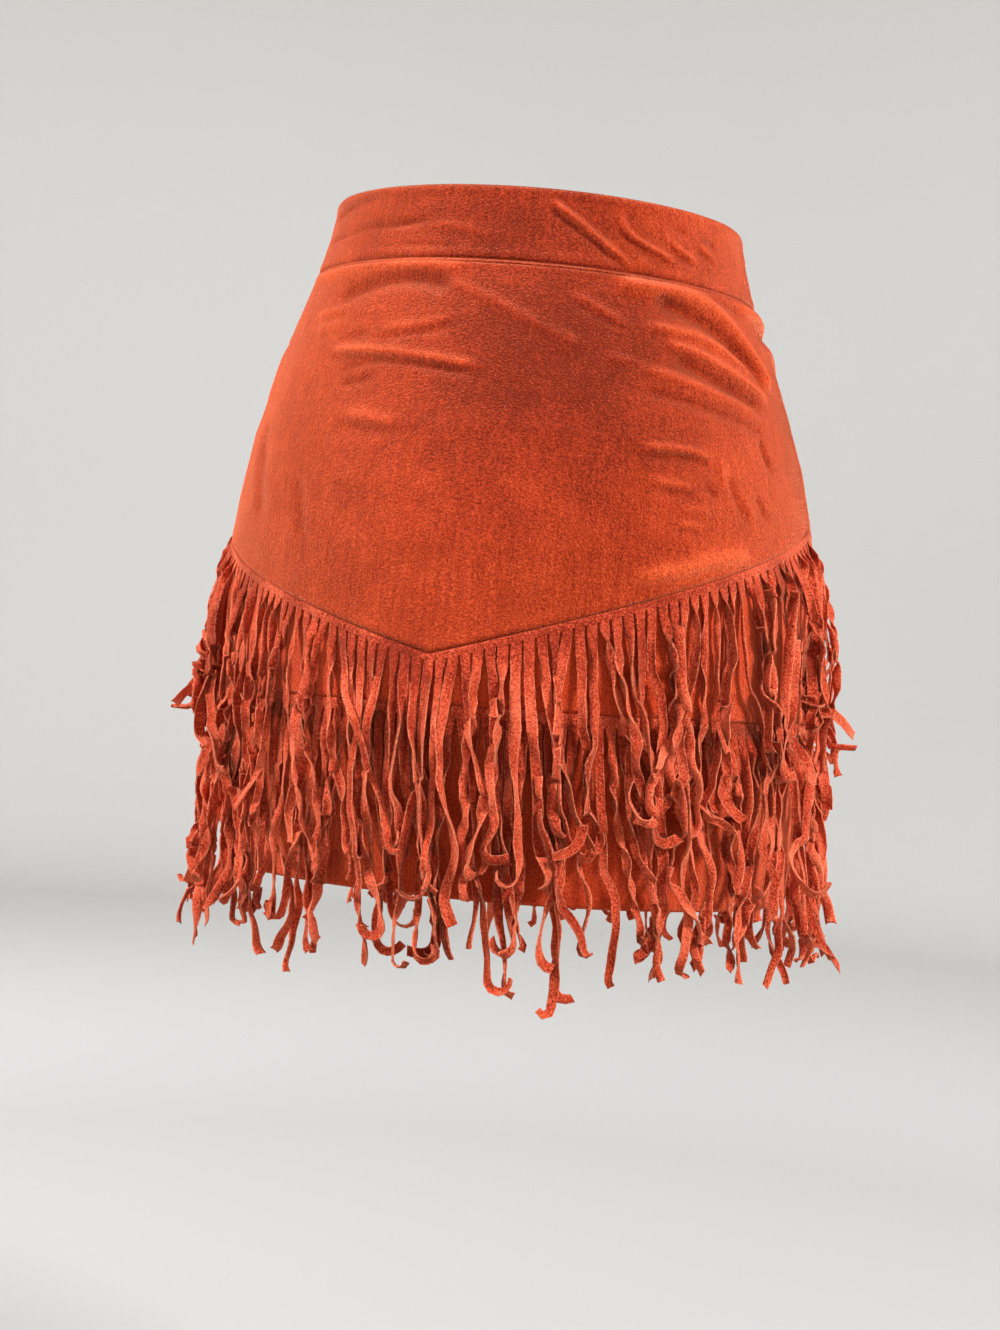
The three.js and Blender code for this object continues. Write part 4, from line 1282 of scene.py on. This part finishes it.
@dataclass
class Zip:
    """The centre back zip: tape, coil, slider, pull tab and the stitching beside them."""

    shape: WornShape = field(default_factory=WornShape)
    top: float = 14.0
    bottom: float = -158.0
    coil_outward: float = -3.4
    pitch: float = 1.3
    stitch_aside: float = 6.0
    stitch_pitch: float = 3.4

    def repeat(self, name: str, link: bpy.types.Object, frames: list[Matrix]) -> bpy.types.Object:
        """Copies a modelled link to many places as one mesh.

        Args:
            name: the new piece's name.
            link: the link, modelled at the origin; it is removed.
            frames: where each copy goes, in metres.

        Returns:
            The joined copies.
        """
        points = np.empty(len(link.data.vertices) * 3)
        link.data.vertices.foreach_get("co", points)
        corners = np.c_[points.reshape(-1, 3), np.ones(len(link.data.vertices))]
        polygons = [list(polygon.vertices) for polygon in link.data.polygons]
        placed, faces = [], []
        for number, spot in enumerate(frames):
            placed.append((corners @ np.array(spot).T)[:, :3] / MM)
            offset = number * len(corners)
            faces.extend([[vertex + offset for vertex in polygon] for polygon in polygons])
        bpy.data.objects.remove(link, do_unlink=True)
        piece = Bench.mesh(name, np.concatenate(placed), faces)
        Bench.smooth(piece, 60.0)
        return piece

    def spots(self, aside: float, outward: float, first: float, last: float, pitch: float) -> list[Matrix]:
        """Frames down the centre back: X across, Y out of the cloth, Z up.

        Args:
            aside: distance from the centre in millimetres.
            outward: distance off the form.
            first: first height.
            last: last height.
            pitch: distance between frames.

        Returns:
            One matrix for each spot, in metres.
        """
        frames = []
        for z in np.arange(first, last, -pitch):
            turn = 180.0 - np.degrees(aside / self.shape.read(z, "half_width"))
            here, up, side = self.shape.place(
                np.array([turn, turn, turn - 1.0]), np.array([z, z + 1.0, z]), np.full(3, outward)
            )
            upward = Vector(up - here).normalized()
            across = Vector(side - here).normalized()
            out = upward.cross(across).normalized()
            across = out.cross(upward)
            turned = Matrix((across, out, upward)).transposed().to_4x4()
            frames.append(Matrix.Translation(Vector(here) * MM) @ turned)
        return frames

    def coil(self) -> bpy.types.Object:
        """The closed coil: flattened loops that lie in turn left and right."""
        bpy.ops.object.select_all(action="DESELECT")
        bpy.ops.mesh.primitive_torus_add(
            major_segments=14, minor_segments=6, major_radius=0.0006, minor_radius=0.00028, location=(0, 0, 0)
        )
        link = bpy.context.active_object
        bpy.ops.object.mode_set(mode="EDIT")
        bpy.ops.mesh.select_all(action="SELECT")
        bpy.ops.transform.resize(value=(1.9, 0.8, 1.0))
        bpy.ops.object.mode_set(mode="OBJECT")
        left = self.spots(0.75, self.coil_outward, self.top - 1, self.bottom + 1, self.pitch)
        right = self.spots(-0.75, self.coil_outward, self.top - 1 - self.pitch / 2, self.bottom + 1, self.pitch)
        return self.repeat("zip_coil_loops", link, left + right)

    def stitches(self) -> bpy.types.Object:
        """Two rows of stitches that hold the zip, one on each side of it."""
        bpy.ops.object.select_all(action="DESELECT")
        bpy.ops.mesh.primitive_uv_sphere_add(segments=8, ring_count=6, radius=0.00028, location=(0, 0, 0))
        link = bpy.context.active_object
        bpy.ops.object.mode_set(mode="EDIT")
        bpy.ops.mesh.select_all(action="SELECT")
        bpy.ops.transform.resize(value=(1.0, 0.8, 4.6))
        bpy.ops.object.mode_set(mode="OBJECT")
        frames = []
        for aside in (-self.stitch_aside, self.stitch_aside):
            frames += self.spots(aside, 0.12, WAIST_TOP - 2.5, WAIST_SEAM + 2.0, self.stitch_pitch)
            frames += self.spots(aside, 0.12, WAIST_SEAM - 3.0, self.bottom - 4, self.stitch_pitch)
        return self.repeat("zip_stitches", link, frames)

    def rounded(self, node: str, name: str, bevel: float) -> bpy.types.Object:
        """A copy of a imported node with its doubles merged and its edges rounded."""
        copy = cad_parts[node].copy()
        copy.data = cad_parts[node].data.copy()
        copy.name = name
        copy.parent = None
        copy.matrix_world = Matrix.Identity(4)
        bpy.context.scene.collection.objects.link(copy)
        Bench.pick(copy)
        bpy.ops.object.mode_set(mode="EDIT")
        bpy.ops.mesh.select_all(action="SELECT")
        bpy.ops.mesh.remove_doubles(threshold=0.00001)
        bpy.ops.mesh.normals_make_consistent(inside=False)
        bpy.ops.object.mode_set(mode="OBJECT")
        edge = copy.modifiers.new("edge", "BEVEL")
        edge.width = bevel * MM
        edge.segments = 2
        edge.limit_method = "ANGLE"
        Bench.apply(copy)
        Bench.smooth(copy, 35.0)
        return copy

    def build(self) -> None:
        """Builds and dresses the zip's pieces."""
        brass = BrassFinish().material()
        Bench.hand_over(self.coil(), "skirt", "zip_metal", brass, ["zip_coil"])
        Bench.hand_over(self.rounded("zip_slider", "slider_rounded", 0.18), "skirt", "zip_metal", brass, ["zip_slider"])
        Bench.hand_over(self.rounded("zip_pull", "pull_rounded", 0.18), "pull_tab", "zip_metal", brass, ["zip_pull"])
        Bench.hand_over(self.stitches(), "skirt", "suede_smooth", THREAD.material())
        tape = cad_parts["zip_tape"]
        tape.data.materials.clear()
        tape.data.materials.append(TapeFinish().material())


@dataclass(frozen=True)
class SoftBox:
    """A square lamp: where it stands, how wide it is and how strong."""

    name: str
    place: tuple[float, float, float]
    size: float
    power: float


@dataclass
class Studio:
    """Pale round floor that curves up all round, soft lamps and the camera."""

    floor_z: float = -0.78
    floor_radius: float = 3.2
    wall_height: float = 2.6
    yaw: float = -17.96
    pitch: float = 0.04
    roll: float = 4.57
    offset: tuple[float, float, float] = (0.0202, -0.2273, 1.1203)
    focal_px: float = 1991.0
    frame_height_px: float = 1330.0
    sensor: float = 36.0
    rim_lamps: int = 6
    rim_power: float = 34.0
    lamps: tuple[SoftBox, ...] = (
        SoftBox("key_left", (-1.55, -0.75, 1.1), 0.4, 79.0),
        SoftBox("key_right", (1.6, -0.6, 1.05), 0.4, 60.0),
        SoftBox("back_left", (-1.3, 1.2, 1.1), 0.7, 42.0),
        SoftBox("back_right", (1.3, 1.2, 1.1), 0.7, 40.0),
    )

    def floor(self) -> None:
        """Spins a profile into the floor and its curved rim."""
        bend = 0.9
        radius = self.floor_radius
        profile = [(0.0, 0.0), (radius * 0.5, 0.0), (radius, 0.0)]
        for step in range(1, 13):
            angle = math.pi / 2 * step / 12
            profile.append((radius + bend * math.sin(angle), bend * (1 - math.cos(angle))))
        profile.append((radius + bend, self.wall_height))
        sides = 72
        points = []
        for side in range(sides):
            turn = 2 * math.pi * side / sides
            for out, up in profile:
                spot = (out * math.cos(turn), out * math.sin(turn), up + self.floor_z)
                points.append([value / MM for value in spot])
        width = len(profile)
        faces = []
        for side in range(sides):
            here, after = side * width, (side + 1) % sides * width
            for row in range(width - 1):
                faces.append([here + row, here + row + 1, after + row + 1, after + row])
        floor = Bench.mesh("studio_floor", np.array(points), faces)
        Bench.pick(floor)
        bpy.ops.object.mode_set(mode="EDIT")
        bpy.ops.mesh.select_all(action="SELECT")
        bpy.ops.mesh.remove_doubles(threshold=0.0001)
        bpy.ops.mesh.normals_make_consistent(inside=True)
        bpy.ops.object.mode_set(mode="OBJECT")
        Bench.smooth(floor, 60.0)
        material = bpy.data.materials.new("studio_paper")
        material.use_nodes = True
        sheet = NodeSheet(material.node_tree)
        shader = material.node_tree.nodes["Principled BSDF"]
        place = sheet.add("ShaderNodeTexCoord")
        reach = sheet.add("ShaderNodeVectorMath", operation="LENGTH")
        sheet.link(place.outputs["Object"], reach.inputs[0])
        outer = sheet.maths("MULTIPLY_ADD", reach.outputs["Value"], 0.45, -0.65, clamp=True)
        tone = sheet.mix(outer, (0.24, 0.237, 0.232, 1.0), (0.56, 0.553, 0.54, 1.0))
        sheet.link(tone, shader.inputs["Base Color"])
        shader.inputs["Roughness"].default_value = 0.9
        floor.data.materials.append(material)

    def hang(self, lamp: SoftBox, target: tuple[float, float, float]) -> None:
        """Hangs one lamp and points it at a target."""
        data = bpy.data.lights.new(lamp.name, "AREA")
        data.size = lamp.size
        data.energy = lamp.power
        holder = bpy.data.objects.new(lamp.name, data)
        bpy.context.scene.collection.objects.link(holder)
        holder.location = lamp.place
        holder.rotation_euler = (Vector(target) - holder.location).to_track_quat("-Z", "Y").to_euler()

    def light(self) -> None:
        """Adds the soft lamps, the lamps that wash the rim and an even pale sky."""
        for lamp in self.lamps:
            self.hang(lamp, (0.0, 0.0, -0.16))
        for number in range(self.rim_lamps):
            turn = 2 * math.pi * (number + 0.5) / self.rim_lamps
            out = Vector((math.sin(turn), math.cos(turn), 0.0))
            spot = out * 1.1
            lamp = SoftBox(f"rim_{number}", (spot.x, spot.y, 1.9), 0.8, self.rim_power)
            self.hang(lamp, (out.x * 4.0, out.y * 4.0, 0.1))
        world = bpy.data.worlds.new("studio_sky")
        world.use_nodes = True
        world.node_tree.nodes["Background"].inputs["Color"].default_value = (1.0, 0.98, 0.96, 1.0)
        world.node_tree.nodes["Background"].inputs["Strength"].default_value = 0.11
        bpy.context.scene.world = world

    def camera(self) -> None:
        """Places the camera where the photograph was taken from."""
        def turned(angle: float, first: int, second: int) -> Matrix:
            """Rotation by an angle in degrees in the plane of two axes."""
            matrix = Matrix.Identity(3)
            cosine, sine = math.cos(math.radians(angle)), math.sin(math.radians(angle))
            matrix[first][first], matrix[first][second] = cosine, -sine
            matrix[second][first], matrix[second][second] = sine, cosine
            return matrix

        base = Matrix(((1, 0, 0), (0, 0, -1), (0, 1, 0)))
        rotation = turned(self.roll, 0, 1) @ turned(self.pitch, 1, 2) @ base @ turned(self.yaw, 0, 1)
        centre = -(rotation.transposed() @ Vector(self.offset))
        axes = Matrix((rotation[0], -rotation[1], -rotation[2])).transposed()
        data = bpy.data.cameras.new("photo_view")
        data.sensor_width = self.sensor
        data.lens = self.focal_px / self.frame_height_px * self.sensor
        camera = bpy.data.objects.new("photo_view", data)
        camera.matrix_world = Matrix.Translation(centre) @ axes.to_4x4()
        bpy.context.scene.collection.objects.link(camera)
        bpy.context.scene.camera = camera

    def build(self) -> None:
        """Builds the floor, the lamps and the camera."""
        self.camera()
        self.light()
        self.floor()
        bpy.context.scene.view_settings.view_transform = "Standard"


def main() -> None:
    """Builds the studio, the cloth, the fringe and the zip, in that order."""
    logging.basicConfig(level=logging.INFO, format="%(name)s: %(message)s")
    Studio().build()
    log.info("studio built")
    cloth = Body().build()
    fringe = Fringe().build()
    Zip().build()


if __name__ == "__main__":
    main()
